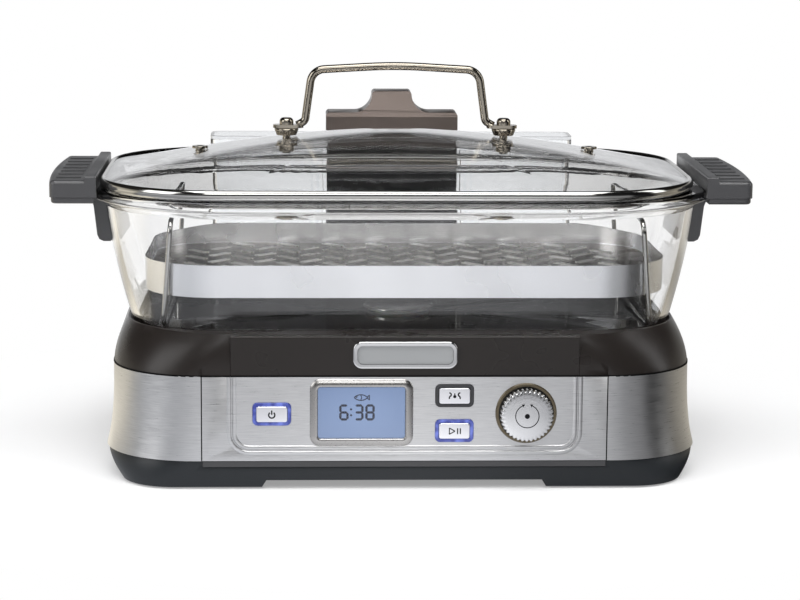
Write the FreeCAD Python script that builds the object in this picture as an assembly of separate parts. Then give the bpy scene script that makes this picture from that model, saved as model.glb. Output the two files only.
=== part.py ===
import FreeCAD, Part
import math
import os
from FreeCAD import Vector

# Countertop food steamer: a heated base with a control fascia, a rear water tank,
# a lift-off glass pot with two handles, a raised steel tray and a domed glass lid.
# Millimetres. +Z up, front towards -Y, origin under the middle of the whole part.

# ---- base housing ----
base_width = 359.2
base_front = -134.5            # outer face of the steel fascia
base_rear = 143.5
base_corner = 55.0
foot_height = 1.2
skirt_top = 17.2               # where the steel skin starts
steel_top = 68.5
side_flare = 4.6               # how much wider the sides are at the foot of the steel skin
deck_top = 93.0
steel_thickness = 1.2
wall = 2.4
seam_gap = 0.3                 # open joint line between skin panels
air_channel_height = 5.4
air_channel_width = 164.0
channel_draft = 3.2
floor_thickness = 3.0
skirt_tuck = 10.8              # how far the skirt rolls under at the sides
skirt_end_tuck = 2.4           # the same at the front and the back
skirt_corner = 32.0            # corner radius at the foot of the skirt
skirt_roll = 1.6               # how late the skirt rolls under
deck_side_lean = 7.6
deck_swell = 1.9
deck_end_lean = 4.0
deck_corner = 70.0
rear_half = 108.0              # half width of the plain back panel
vent_slot_count = 12
vent_slot_pitch = 9.0
vent_slot_width = 4.0
vent_slot_margin = 18.0        # from the end of the back panel
vent_slot_rise = 14.8          # above the foot of the steel skin
vent_slot_drop = 10.5          # below its top edge
post_places = [(-140, -84), (140, -84), (-148, 20), (148, 20), (-140, 114), (140, 114)]
post_radius = 5.5
foot_places = [(-124, -96), (124, -96), (-124, 106), (124, 106)]
foot_radius = 9.0
inlet_x = 72.0
inlet_z = 42.0
inlet_width = 30.0
inlet_height = 22.0
inlet_depth = 24.0

# ---- front panel ----
fascia_width = 240.0
fascia_thickness = 1.5
carrier_thickness = 3.0
carrier_bottom = 13.9
groove_width = 204.0
groove_bottom = 24.5
groove_corner = 10.0
groove_size = 0.9
display_x = -25.7
display_z = 46.8
bezel_width = 61.5
bezel_height = 41.0
window_width = 51.5
window_height = 31.0
bezel_stand = 1.6
button_width = 18.4
button_height = 9.4
button_ring_wall = 1.9
button_stand = 1.5
button_travel = 1.0
button_play = 0.2
power_button_x = -78.7
power_button_z = 46.0
steam_button_x = 29.3
steam_button_z = 57.0
start_button_z = 35.8
knob_x = 71.8
knob_z = 46.3
knob_diameter = 31.5
knob_height = 8.0
knob_travel = 0.8
knob_flutes = 36
shaft_diameter = 6.0
shaft_play = 0.04
bushing_radius = 4.5
encoder_depth = 7.0
rotor_radius = 5.0
switch_height = 3.5
carrier_posts = [(-104, 24), (-104, 66), (100, 24), (100, 66)]
badge_width = 62.0
badge_height = 16.4
badge_z = 81.6

# ---- pot ----
pot_y = -16.5
flange_half_width = 189.5
flange_half_depth = 123.0
flange_corner = 92.0
flange_top = 171.6
flange_thickness = 6.2
pot_wall_half_width = 182.0
pot_wall_half_depth = 112.0
pot_wall_corner = 82.0
pot_floor_half_width = 161.5
pot_floor_half_depth = 98.0
pot_floor_corner = 48.0
pot_foot_radius = 12.0
wall_swell = 1.55              # how early the tapered wall reaches its full width
glass_wall = 4.5
recess_floor = 84.0
seat_gap = 0.4
recess_clearance = 1.0

# ---- lid ----
lid_half_width = 181.4
lid_half_depth = 117.0
lid_corner = 76.0
lid_shift = -2.5               # the loose lid rests a little to the left
rim_height = 6.4
rim_band = 7.0
rim_sheet = 0.9
dome_rise = 25.4
dome_swell = 1.65              # how peaked the dome is
lid_glass_thickness = 4.0
bail_half_width = 52.0
bail_flare = 4.4
bail_top = 244.4
bail_wire = 5.0
bail_bolt_x = 68.0
foot_length = 20.0
foot_thickness = 2.0
cup_height = 5.6
bolt_radius = 2.5
vent_x = 122.0
vent_radius = 3.0
vent_rim_radius = 5.0

# ---- tray ----
tray_side_gap = 1.5            # clearance to the outline of the pot's floor
tray_half_width = pot_floor_half_width - tray_side_gap
tray_half_depth = 80.0
tray_corner = 45.0
tray_shift = 2.8               # the loose tray stands a little to the right
tray_sheet = 0.8
tray_bottom = 109.5
tray_top = 129.0
tray_floor = 118.4
slot_length = 19.0
slot_width = 2.6
slot_column_pitch = 14.5
slot_row_pitch = 26.0
wire_diameter = 3.0
loop_inset = 13.5
loop_x = tray_half_width - loop_inset
loop_lean = 4.5
loop_top = 154.0

# ---- handles on the pot ----
grip_width = 31.0
grip_bow = 3.2
grip_half_length = 64.5
grip_y = -18.5
grip_top = 178.0
grip_bottom = 163.8
clamp_split = 167.6
collar_top = 180.6
collar_width = 7.0
screw_setback = 9.0
leg_bottom = 135.2
leg_half_length = 26.0
leg_lean = 2.0
leg_gap = 0.5
rib_count = 7
rib_height = 0.5
rib_half_width = 2.2

# ---- water tank ----
tank_half_width = 122.5
tank_front = 108.5
tank_depth = 33.5
tank_wall = 2.4
tank_top = 184.0
tank_corner = 8.0
spine_half_width = 44.4
cap_shoulder = 200.0
cap_top = 214.0
cap_tab_half_width = 13.4
cap_lean = 6.0                 # how far the tab's front leans back at its top
spine_depth = 4.0
filler_half_width = 34.0
filler_half_depth = 9.5
valve_x = -60.0
neck_diameter = 16.0
valve_lift = 3.2
socket_drain = 4.0
socket_clearance = 1.2

# ---- inside the base ----
boiler_radius = 54.0
boiler_bottom = 40.0
boiler_top = 62.0
spout_radius = 13.0
pot_hole_radius = 16.0
hose_radius = 4.0
pump_x = -112.0
pump_front = 52.0
pump_length = 40.0
pump_z = 16.0
pump_half_height = 14.0
heater_radius = 3.4
heater_inset = 22.0
power_board = (28.0, 136.0, 54.0, 104.0)
power_board_z = 20.0
board_gap = 11.0
board_thickness = 1.6
board_margin = 12.0
chip_size = 14.0
chip_offset = 27.3             # from the middle of the display
plug_width = 22.0
plug_height = 7.0
relay_height = 16.0
transformer_width = 28.0
transformer_height = 22.0
capacitor_radius = 7.0
screw_radius = 1.75
screw_head_radius = 3.4

# worked out from the sizes above
base_half = base_width / 2
base_middle = (base_front + base_rear) / 2
base_half_depth = (base_rear - base_front) / 2
fascia_back = base_front + fascia_thickness
carrier_back = fascia_back + carrier_thickness
board_front = carrier_back + board_gap - fascia_thickness - board_thickness
cavity_floor = air_channel_height + floor_thickness
recess_half_width = pot_floor_half_width + 3.1 + recess_clearance
recess_half_depth = pot_floor_half_depth + 2.4 + recess_clearance
recess_corner = pot_floor_corner + 3.0 + recess_clearance
pot_bottom = recess_floor + seat_gap
pot_floor_top = pot_bottom + glass_wall + 0.5
rim_bottom = flange_top + seat_gap
rim_top = rim_bottom + rim_height
glass_edge = rim_bottom + rim_height / 2 - lid_glass_thickness / 2
tank_middle = tank_front + tank_depth / 2
tank_seat = deck_top - 2.5
tank_floor = tank_seat + 0.3
neck_bottom = tank_seat - 14.5
plunger_bottom = neck_bottom - 1.5
socket_floor = neck_bottom - 10
cap_middle = tank_middle + 2.5
post_screw_seat = steel_top - 6.5
button_places = {
    "power": (power_button_x, power_button_z),
    "steam": (steam_button_x, steam_button_z),
    "start": (steam_button_x, start_button_z),
}
knob_well_radius = knob_diameter / 2 + 1.2
knob_back = base_front - knob_travel - 0.2
knob_front = knob_back - knob_height
switch_tip = board_front - switch_height - 1.0
encoder_front = board_front - encoder_depth
rotor_front = encoder_front + 1.6
rotor_back = board_front - 1.9
front_trim_width = groove_width + 2 * groove_size
front_trim_back = base_front + 3.6
boiler_inlet_z = (boiler_bottom + boiler_top) / 2
wall_top_z = flange_top - flange_thickness
shoulder_bottom = wall_top_z - 4.6
handle_inner_x = lid_half_width - lid_shift + 0.6
grip_reach = handle_inner_x + grip_width
grip_corner_x = grip_reach - grip_bow
screw_column = grip_reach - screw_setback
leg_top_x = flange_half_width - 0.3
leg_bottom_x = leg_top_x - leg_lean
dome_half_width = lid_half_width - rim_sheet - 0.4
dome_half_depth = lid_half_depth - rim_sheet - 0.4
dome_corner = lid_corner - rim_sheet - 0.4


def box(x0, x1, y0, y1, z0, z1):
    return Part.makeBox(x1 - x0, y1 - y0, z1 - z0, Vector(x0, y0, z0))


def rod(x, y, z0, z1, radius):
    return Part.makeCylinder(radius, z1 - z0, Vector(x, y, z0))


def rod_back(x, z, y0, y1, radius):
    return Part.makeCylinder(radius, y1 - y0, Vector(x, y0, z), Vector(0, 1, 0))


def rounded_wire(half_width, half_depth, corner, z, middle_y):
    """Rounded rectangle at height z, drawn anticlockwise from the +X side."""
    corner = min(corner, half_width - 0.05, half_depth - 0.05)
    edges = []
    inner_x = half_width - corner
    inner_y = half_depth - corner
    centres = [(inner_x, inner_y), (-inner_x, inner_y), (-inner_x, -inner_y), (inner_x, -inner_y)]
    points = []
    for quarter, (cx, cy) in enumerate(centres):
        for step in range(3):
            angle = math.radians(90 * quarter + 45 * step)
            x = cx + corner * math.cos(angle)
            y = cy + corner * math.sin(angle)
            points.append(Vector(x, middle_y + y, z))
    for quarter in range(4):
        start, halfway, end = points[3 * quarter:3 * quarter + 3]
        edges.append(Part.Arc(start, halfway, end).toShape())
        following = points[(3 * quarter + 3) % 12]
        if end.distanceToPoint(following) > 1e-6:
            edges.append(Part.makeLine(end, following))
    return Part.Wire(edges)


def slab(half_width, half_depth, corner, z0, z1, middle_y):
    """Upright block with a rounded rectangular plan."""
    face = Part.Face(rounded_wire(half_width, half_depth, corner, z0, middle_y))
    return face.extrude(Vector(0, 0, z1 - z0))


def blend(sections, middle_y):
    """Smooth solid through level sections of (z, half width, half depth, corner)."""
    wires = []
    for z, half_width, half_depth, corner in sections:
        wires.append(rounded_wire(half_width, half_depth, corner, z, middle_y))
    return Part.makeLoft(wires, True, False)


def panel(x, z, width, height, corner, y0, y1):
    """Upright rounded rectangle that faces the front, from y0 back to y1."""
    flat = slab(width / 2, height / 2, corner, 0, y1 - y0, 0)
    flat.rotate(Vector(0, 0, 0), Vector(1, 0, 0), 90)
    flat.translate(Vector(x, y1, z))
    return flat


def outline_prism(points, y0, y1):
    """Prism of a closed (x, z) outline, from y0 back to y1."""
    corners = [Vector(x, y0, z) for x, z in points]
    corners.append(corners[0])
    return Part.Face(Part.makePolygon(corners)).extrude(Vector(0, y1 - y0, 0))


def bent_path(points, bend):
    """Straight runs joined by tangent arcs of the given radius."""
    edges = []
    start = points[0]
    for before, corner, after in zip(points, points[1:], points[2:]):
        back = (before - corner).normalize()
        ahead = (after - corner).normalize()
        half_turn = (math.pi - back.getAngle(ahead)) / 2
        trim = bend * math.tan(half_turn)
        enter = corner + back * trim
        leave = corner + ahead * trim
        inward = (back + ahead).normalize()
        middle = corner + inward * (bend / math.cos(half_turn) - bend)
        edges.append(Part.makeLine(start, enter))
        edges.append(Part.Arc(enter, middle, leave).toShape())
        start = leave
    edges.append(Part.makeLine(start, points[-1]))
    return Part.Wire(edges)


def bent_rod(points, bend, radius):
    """Round bar swept along a bent path."""
    path = bent_path(points, bend)
    direction = points[1] - points[0]
    profile = Part.Wire([Part.makeCircle(radius, points[0], direction)])
    return path.makePipeShell([profile], True, False)


def fuse_all(shapes):
    joined = shapes[0].fuse(shapes[1:])
    return joined.removeSplitter()


def save(shape, name, shift=0):
    shape.translate(Vector(shift, 0, 0))
    shape.exportStep("parts/" + name + ".step")


def flare_inset(z):
    """How far each side has drawn in at height z, from nothing at the foot of the steel skin."""
    share = (z - skirt_top) / (steel_top - skirt_top)
    share = min(1, max(0, share))
    return side_flare * (1 - (1 - share) ** 3)


def base_slab(inset, z0, z1):
    """Block with the plan of the base, its sides flared towards the bottom."""
    sections = []
    for step in range(7):
        z = z0 + (z1 - z0) * step / 6
        sections.append(base_section(z, flare_inset(z) + inset, inset, base_corner - inset))
    return blend(sections, base_middle)


def base_section(z, side_inset, end_inset, corner):
    return (z, base_half - side_inset, base_half_depth - end_inset, corner)


def skirt_sections():
    """Evenly spaced level sections of the skirt, from its foot up to the steel skin."""
    steps = 8
    sections = []
    for step in range(steps + 1):
        share = step / steps
        rolled = (1 - share) ** skirt_roll
        side_inset = steel_thickness + (skirt_tuck - steel_thickness) * rolled
        end_inset = steel_thickness + (skirt_end_tuck - steel_thickness) * rolled
        corner = skirt_corner + (base_corner - steel_thickness - skirt_corner) * share
        z = foot_height + share * (skirt_top - foot_height)
        sections.append(base_section(z, side_inset, end_inset, corner))
    return sections


# ---------------------------------------------------------------- base housing

def make_base_pan():
    """Moulded bottom tub: rolled skirt, raised air channel and an inner wall for the skin."""
    skirt = blend(skirt_sections(), base_middle)
    wall_inset = steel_thickness + seam_gap
    tub = skirt.fuse(base_slab(wall_inset, skirt_top - 1, steel_top - seam_gap))
    tub = tub.cut(base_slab(wall_inset + wall, skirt_top + 2, steel_top + 1))
    tub = tub.cut(base_slab(wall_inset + 2 * wall, cavity_floor, skirt_top + 3))
    half = air_channel_width / 2
    far = base_half_depth + 5
    channel = [(-half - channel_draft, foot_height - 1), (half + channel_draft, foot_height - 1),
               (half, air_channel_height), (-half, air_channel_height)]
    tub = tub.cut(outline_prism(channel, base_middle - far, base_middle + far))
    pocket_start = half + channel_draft + wall
    pocket_end = base_half - skirt_tuck - 2 * wall
    pocket_half = (pocket_end - pocket_start) / 2
    for side in (-1, 1):
        pocket = slab(pocket_half, base_half_depth - 40, 20, foot_height + wall, cavity_floor + 1, base_middle)
        pocket.translate(Vector(side * (pocket_start + pocket_half), 0, 0))
        tub = tub.cut(pocket)
    front_opening = fascia_width / 2 - 0.2
    tub = tub.cut(box(-front_opening, front_opening, base_front - 5, carrier_back + 0.2,
                      carrier_bottom - 0.2, steel_top + 1))
    tub = tub.cut(box(-rear_half + 8, rear_half - 8, base_rear - 9, base_rear + 5, skirt_top + 5, steel_top - 6))
    for x, y in post_places:
        tub = tub.fuse(rod(x, y, foot_height, steel_top - seam_gap, post_radius))
    for angle in (90, 210, 330):
        x = (boiler_radius - 9) * math.cos(math.radians(angle))
        y = pot_y + (boiler_radius - 9) * math.sin(math.radians(angle))
        tub = tub.fuse(rod(x, y, cavity_floor - 0.5, boiler_bottom, 5))
    for x, y in board_posts():
        over_channel = abs(x) < pocket_start
        post_bottom = cavity_floor - 0.5 if over_channel else foot_height + wall - 0.5
        tub = tub.fuse(rod(x, y, post_bottom, power_board_z, 4))
    tub = tub.fuse(box(pump_x - 12, pump_x + 12, pump_front + 6, pump_front + pump_length - 6,
                       foot_height + wall - 0.5, pump_z))
    for x, y in post_places:
        tub = tub.cut(rod(x, y, foot_height - 1, post_screw_seat, post_radius - 1.7))
        tub = tub.cut(rod(x, y, post_screw_seat - 1, steel_top + 1, screw_radius + 0.25))
    for x, y in foot_places:
        tub = tub.cut(rod(x, y, foot_height - 1, foot_height + 0.6, foot_radius + 0.2))
    return tub.removeSplitter()


def make_rubber_feet():
    """Four soft discs pressed into shallow sockets under the skirt."""
    return Part.makeCompound([rod(x, y, 0, foot_height + 0.6, foot_radius) for x, y in foot_places])


def make_steel_wrap(side):
    """Brushed steel skin round one side of the base, from the fascia seam to the rear panel."""
    ring = base_slab(0, skirt_top + seam_gap, steel_top).cut(base_slab(steel_thickness, skirt_top, steel_top + 1))
    front_edge = fascia_width / 2 + seam_gap
    rear_edge = rear_half + seam_gap
    ring = ring.cut(box(-front_edge, front_edge, base_front - 5, base_middle, 0, deck_top))
    ring = ring.cut(box(-rear_edge, rear_edge, base_middle, base_rear + 5, 0, deck_top))
    keep = box(min(0, side * 300), max(0, side * 300), base_front - 5, base_rear + 5, 0, deck_top)
    return ring.common(keep)


def make_rear_panel():
    """Plain moulded back with cooling slots and the opening of the power inlet."""
    back = base_rear
    front = base_rear - steel_thickness
    plate = box(-rear_half, rear_half, front, back, skirt_top + seam_gap, steel_top)
    for column in range(vent_slot_count):
        x = vent_slot_margin - rear_half + column * vent_slot_pitch
        plate = plate.cut(box(x, x + vent_slot_width, front - 1, back + 1,
                              skirt_top + vent_slot_rise, steel_top - vent_slot_drop))
    opening = panel(inlet_x, inlet_z, inlet_width + 0.4, inlet_height + 0.4, 3, front - 1, back + 1)
    return plate.cut(opening)


def make_power_inlet():
    """Recessed three-pin appliance inlet, snapped in from outside."""
    deep = base_rear - inlet_depth
    body = panel(inlet_x, inlet_z, inlet_width, inlet_height, 3, deep, base_rear - 0.2)
    body = body.cut(panel(inlet_x, inlet_z, inlet_width - 5, inlet_height - 5, 3, deep + 5, base_rear + 1))
    for x, z in ((-7, -2), (0, 2.5), (7, -2)):
        pin = box(inlet_x + x - 1, inlet_x + x + 1, deep - 6, base_rear - 5, inlet_z + z - 2, inlet_z + z + 2)
        body = body.fuse(pin)
    return body.removeSplitter()


# ---------------------------------------------------------------- front panel
def button_opening(x, z, y0, y1):
    width = button_width + 2 * (button_play + button_ring_wall) + 0.1
    height = button_height + 2 * (button_play + button_ring_wall) + 0.1
    return panel(x, z, width, height, 3.0, y0, y1)


def make_front_fascia():
    """Flat steel control panel with an embossed line that runs down, across and up again."""
    half = fascia_width / 2
    plate = box(-half, half, base_front, fascia_back, skirt_top + seam_gap, steel_top)
    outer = panel(0, (groove_bottom + deck_top) / 2, groove_width + 2 * groove_size,
                  deck_top - groove_bottom + 2 * groove_size, groove_corner + groove_size,
                  base_front - 1, base_front + 0.45)
    inner = panel(0, (groove_bottom + deck_top) / 2, groove_width, deck_top - groove_bottom,
                  groove_corner, base_front - 2, base_front + 1)
    plate = plate.cut(outer.cut(inner))
    plate = plate.cut(panel(display_x, display_z, window_width + 4, window_height + 4, 2,
                            base_front - 1, fascia_back + 1))
    for x, z in button_places.values():
        plate = plate.cut(button_opening(x, z, base_front - 1, fascia_back + 1))
    return plate.cut(rod_back(knob_x, knob_z, base_front - 1, fascia_back + 1, knob_well_radius))


def make_fascia_carrier():
    """Grey moulding behind the fascia; its lower edge shows as a strip under the steel."""
    half = fascia_width / 2 - 0.4
    body = box(-half, half, fascia_back, carrier_back, carrier_bottom, steel_top - seam_gap)
    body = body.fuse(box(-half, half, base_front + 0.3, fascia_back + 1, carrier_bottom, skirt_top))
    body = body.cut(panel(display_x, display_z, window_width + 8, window_height + 8, 2,
                          fascia_back - 1, carrier_back + 1))
    for x, z in button_places.values():
        body = body.cut(button_opening(x, z, fascia_back - 1, carrier_back + 1))
    body = body.cut(rod_back(knob_x, knob_z, fascia_back - 1, carrier_back + 1, bushing_radius + 0.3))
    for x, z in carrier_posts:
        body = body.fuse(rod_back(x, z, carrier_back - 0.5, board_front, 3))
    return body.removeSplitter()


def make_display_bezel():
    """Bevelled frame round the display."""
    front = base_front - bezel_stand
    frame = panel(display_x, display_z, bezel_width, bezel_height, 3.5, front, base_front)
    edges = [edge for edge in frame.Edges if edge.BoundBox.YMax < front + 0.01]
    frame = frame.makeChamfer(bezel_stand * 0.6, edges)
    frame = frame.fuse(panel(display_x, display_z, window_width + 3.6, window_height + 3.6, 2,
                             base_front - 0.5, fascia_back + 1.5))
    return frame.cut(panel(display_x, display_z, window_width, window_height, 1.6, front - 1, fascia_back + 3))


def make_display_window():
    """Clear lens that fills the bezel."""
    return panel(display_x, display_z, window_width - 0.2, window_height - 0.2, 1.5,
                 base_front - 0.7, base_front + 0.9)


def make_lcd_module():
    """Backlit liquid crystal panel on its light guide, stood off the control board."""
    glass = panel(display_x, display_z, window_width - 0.4, window_height - 0.4, 1.4,
                  base_front + 1.0, fascia_back + 2)
    guide = panel(display_x, display_z, window_width + 6, window_height + 6, 1.5, fascia_back + 1.9, board_front)
    return glass.fuse(guide).removeSplitter()


def make_button_ring(place):
    """Moulded surround of one button."""
    x, z = button_places[place]
    width = button_width + 2 * (button_play + button_ring_wall)
    height = button_height + 2 * (button_play + button_ring_wall)
    ring = panel(x, z, width, height, 2.8, base_front - 0.7, carrier_back)
    inside = panel(x, z, button_width + 2 * button_play, button_height + 2 * button_play, 1.6,
                   base_front - 2, carrier_back + 1)
    return ring.cut(inside)


def make_button(place):
    """Silver push cap with the stem that reaches its switch."""
    x, z = button_places[place]
    front = base_front - button_stand
    cap = panel(x, z, button_width, button_height, 1.5, front, front + 4.5)
    edges = [edge for edge in cap.Edges if edge.BoundBox.YMax < front + 0.01]
    cap = cap.makeFillet(0.6, edges)
    stem = box(x - 2, x + 2, front + 4, switch_tip - button_travel - 0.15, z - 2, z + 2)
    return cap.fuse(stem).removeSplitter()


def make_tact_switches():
    """Three board switches, one behind each button."""
    switches = []
    for x, z in button_places.values():
        body = box(x - 3, x + 3, board_front - switch_height, board_front, z - 3, z + 3)
        tip = rod_back(x, z, switch_tip, board_front - switch_height + 0.2, 1.7)
        switches.append(body.fuse(tip).removeSplitter())
    return Part.makeCompound(switches)


def make_control_board():
    """Printed board that carries the display, the switches and the dial encoder."""
    reach = fascia_width / 2 - board_margin
    back = board_front + board_thickness
    board = box(-reach, reach - 4, board_front, back, skirt_top + 2.8, steel_top - 2.3)
    chip_x = display_x - chip_offset
    chip = box(chip_x - chip_size / 2, chip_x + chip_size / 2, back, back + 2,
               display_z - chip_size / 2, display_z + chip_size / 2)
    plug = box(steam_button_x + 10.7, steam_button_x + 10.7 + plug_width, back, back + 8,
               skirt_top + 4.8, skirt_top + 4.8 + plug_height)
    return fuse_all([board, chip, plug])


def make_encoder_body():
    """Housing of the rotary encoder with its threaded nose."""
    body = box(knob_x - 6.5, knob_x + 6.5, encoder_front, board_front, knob_z - 6.5, knob_z + 6.5)
    body = body.fuse(rod_back(knob_x, knob_z, carrier_back - 1.5, encoder_front + 0.5, bushing_radius))
    body = body.cut(rod_back(knob_x, knob_z, rotor_front - 0.3, rotor_back + 0.3, rotor_radius + 0.4))
    return body.cut(rod_back(knob_x, knob_z, carrier_back - 3, board_front - 1.0, shaft_diameter / 2 + shaft_play))


def make_encoder_rotor():
    """Detent wheel that turns with the shaft but does not slide."""
    disc = rod_back(knob_x, knob_z, rotor_front, rotor_back, rotor_radius)
    return disc.cut(rod_back(knob_x, knob_z, rotor_front - 1, rotor_back + 1, shaft_diameter / 2 + shaft_play))


def make_encoder_shaft():
    """Steel shaft from the detent wheel into the knob."""
    inner_end = rotor_back - knob_travel - 0.2
    return rod_back(knob_x, knob_z, knob_front + 2.6, inner_end, shaft_diameter / 2)


def make_knob_cap():
    """Fluted dial with a hollow back and a hub on the shaft."""
    radius = knob_diameter / 2
    cap = rod_back(knob_x, knob_z, knob_front, knob_back, radius)
    edges = [edge for edge in cap.Edges if edge.BoundBox.YMax < knob_front + 0.01]
    cap = cap.makeChamfer(0.9, edges)
    hollow = rod_back(knob_x, knob_z, knob_front + 2.2, knob_back + 1, radius - 2.4)
    hollow = hollow.cut(rod_back(knob_x, knob_z, knob_front, knob_back + 1, shaft_diameter / 2 + 2.2))
    cap = cap.cut(hollow)
    cap = cap.cut(rod_back(knob_x, knob_z, knob_front + 2.4, knob_back + 1, shaft_diameter / 2 + shaft_play / 2))
    flutes = []
    for number in range(knob_flutes):
        angle = 2 * math.pi * number / knob_flutes
        x = knob_x + (radius + 0.35) * math.cos(angle)
        z = knob_z + (radius + 0.35) * math.sin(angle)
        flutes.append(rod_back(x, z, knob_front - 1, knob_back + 1, 0.95))
    return cap.cut(flutes)


def make_knob_ring():
    """Thin trim ring pressed into the fascia round the dial."""
    outer = Part.makeCone(knob_well_radius + 1.3, knob_well_radius + 0.7, 1.2,
                          Vector(knob_x, base_front, knob_z), Vector(0, -1, 0))
    sleeve = rod_back(knob_x, knob_z, base_front - 0.1, fascia_back, knob_well_radius - 0.05)
    ring = outer.fuse(sleeve)
    return ring.cut(rod_back(knob_x, knob_z, base_front - 3, fascia_back + 1, knob_well_radius - 0.6))


# ---------------------------------------------------------------- deck
def deck_sections(inset, lowest, highest):
    """Level sections of the leaning deck shoulder, set in by the given amount."""
    sections = []
    for step in range(6):
        share = step / 5
        lean = share ** deck_swell
        z = lowest + share * (highest - lowest)
        corner = base_corner + share * (deck_corner - base_corner) - inset
        side_inset = side_flare + lean * deck_side_lean + inset + 0.2
        end_inset = lean * deck_end_lean + inset + 0.2
        sections.append(base_section(z, side_inset, end_inset, corner))
    return sections


def make_deck_trim():
    """Dark moulded deck with the sunk seat of the pot and the seat of the tank."""
    lowest = steel_top + 0.2
    deck = blend(deck_sections(0, lowest, deck_top), base_middle)
    deck = deck.cut(blend(deck_sections(2.6, lowest - 3, tank_seat - 2.5), base_middle))
    tub = slab(recess_half_width + wall, recess_half_depth + wall, recess_corner + wall,
               recess_floor - 2.5, deck_top - 1, pot_y)
    tub = tub.common(blend(deck_sections(0.1, lowest, deck_top), base_middle))
    deck = deck.fuse(tub)
    for x, y in post_places:
        deck = deck.fuse(rod(x, y, steel_top, tank_seat - 2, post_radius - 0.5))
    recess = blend([
        (recess_floor, recess_half_width - 1.5, recess_half_depth - 1.5, recess_corner - 1.5),
        (deck_top + 1, recess_half_width, recess_half_depth, recess_corner),
    ], pot_y)
    deck = deck.cut(recess)
    seat_x = tank_half_width + 0.8
    deck = deck.cut(slab(seat_x, tank_depth / 2 + 0.8, tank_corner + 0.8, tank_seat, deck_top + 1, tank_middle))
    deck = deck.cut(rod(0, pot_y, recess_floor - 8, recess_floor + 1, spout_radius + 1.5))
    deck = deck.cut(rod(valve_x, tank_middle, tank_seat - 8, tank_seat + 1, neck_diameter / 2 + socket_clearance))
    half = front_trim_width / 2 + 0.2
    deck = deck.cut(box(-half, half, base_front - 5, front_trim_back + 0.2, lowest - 1, deck_top + 1))
    for side in (-1, 1):
        seam_x = side * fascia_width / 2
        deck = deck.cut(box(seam_x - 0.3, seam_x + 0.3, base_front - 1, base_front + 0.7,
                            lowest - 1, deck_top - 1))
    for x, y in post_places:
        deck = deck.cut(rod(x, y, steel_top - 1, steel_top + 9.5, screw_radius))
    return deck.removeSplitter()


def make_front_trim():
    """Flat dark strip across the front of the deck, which carries the badge."""
    half = front_trim_width / 2
    strip = box(-half, half, base_front + 0.3, front_trim_back, steel_top + 0.3, deck_top - 0.4)
    edges = [edge for edge in strip.Edges
             if edge.BoundBox.ZMin > deck_top - 1 and edge.BoundBox.YMax < base_front + 1]
    strip = strip.makeFillet(1.0, edges)
    return strip.cut(panel(0, badge_z, badge_width - 8, badge_height - 6, 2.5,
                           base_front - 1, front_trim_back + 1))


def make_badge_bezel():
    """Polished frame of the blank badge."""
    back = base_front + 0.3
    frame = panel(0, badge_z, badge_width, badge_height, 5.5, back - 2.4, back)
    edges = [edge for edge in frame.Edges if edge.BoundBox.YMax < back - 2.39]
    frame = frame.makeFillet(1.1, edges)
    return frame.cut(panel(0, badge_z, badge_width - 5.4, badge_height - 5.4, 3.2, back - 4, back + 1))


def make_badge_inset():
    """Blank plate inside the badge frame, with a tongue through the trim."""
    back = base_front + 0.3
    plate = panel(0, badge_z, badge_width - 5.5, badge_height - 5.5, 3.1, back - 1.5, back)
    tongue = panel(0, badge_z, badge_width - 8.2, badge_height - 6.2, 2.4, back - 0.5, front_trim_back)
    return plate.fuse(tongue).removeSplitter()


def make_base_screws():
    """Six screws up through the hollow posts into the deck."""
    screws = []
    for x, y in post_places:
        head = rod(x, y, post_screw_seat - 2.6, post_screw_seat, screw_head_radius)
        shank = rod(x, y, post_screw_seat - 1, steel_top + 9, screw_radius)
        screws.append(head.fuse(shank).removeSplitter())
    return Part.makeCompound(screws)


# ---------------------------------------------------------------- steam generator
def make_boiler_body():
    """Cast aluminium steam dish with its outlet neck and water inlet."""
    body = rod(0, pot_y, boiler_bottom, boiler_top, boiler_radius)
    edges = [edge for edge in body.Edges if edge.BoundBox.ZMin > boiler_top - 0.01]
    body = body.makeFillet(4, edges)
    body = body.fuse(rod(0, pot_y, boiler_top - 1, recess_floor - 12, spout_radius - 3))
    inlet = Part.makeCylinder(hose_radius - 1.2, 14, Vector(-boiler_radius + 2, pot_y, boiler_inlet_z),
                              Vector(-1, 0, 0))
    body = body.fuse(inlet)
    body = body.cut(rod(0, pot_y, boiler_bottom + 4, boiler_top - 4, boiler_radius - 5))
    return body.cut(rod(0, pot_y, boiler_top - 5, recess_floor, spout_radius - 5))


def make_heating_element():
    """Tubular heater clamped in an open ring under the dish."""
    ring = Part.makeTorus(boiler_radius - heater_inset, heater_radius,
                          Vector(0, 0, 0), Vector(0, 0, 1), -180, 180, 300)
    ring.rotate(Vector(0, 0, 0), Vector(0, 0, 1), 120)
    ring.translate(Vector(0, pot_y, boiler_bottom - heater_radius - 0.1))
    return ring


def make_thermostat():
    """Disc thermostat under the middle of the dish."""
    disc = rod(0, pot_y, boiler_bottom - 6, boiler_bottom - 0.1, 8)
    tabs = []
    for side in (-1, 1):
        x = side * 6
        tabs.append(box(x - 1, x + 1, pot_y - 3, pot_y + 3, boiler_bottom - 13, boiler_bottom - 5))
    return fuse_all([disc] + tabs)


def make_steam_spout():
    """Soft tube that carries the steam from the dish up to the pot seat."""
    top = recess_floor - 0.4
    tube = rod(0, pot_y, recess_floor - 18, top, spout_radius)
    collar = rod(0, pot_y, recess_floor - 6, recess_floor - 2.7, spout_radius + 4)
    tube = tube.fuse(collar).cut(rod(0, pot_y, recess_floor - 12.3, top + 1, spout_radius - 4))
    return tube.cut(rod(0, pot_y, recess_floor - 19, recess_floor - 12, spout_radius - 2.8))


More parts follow.
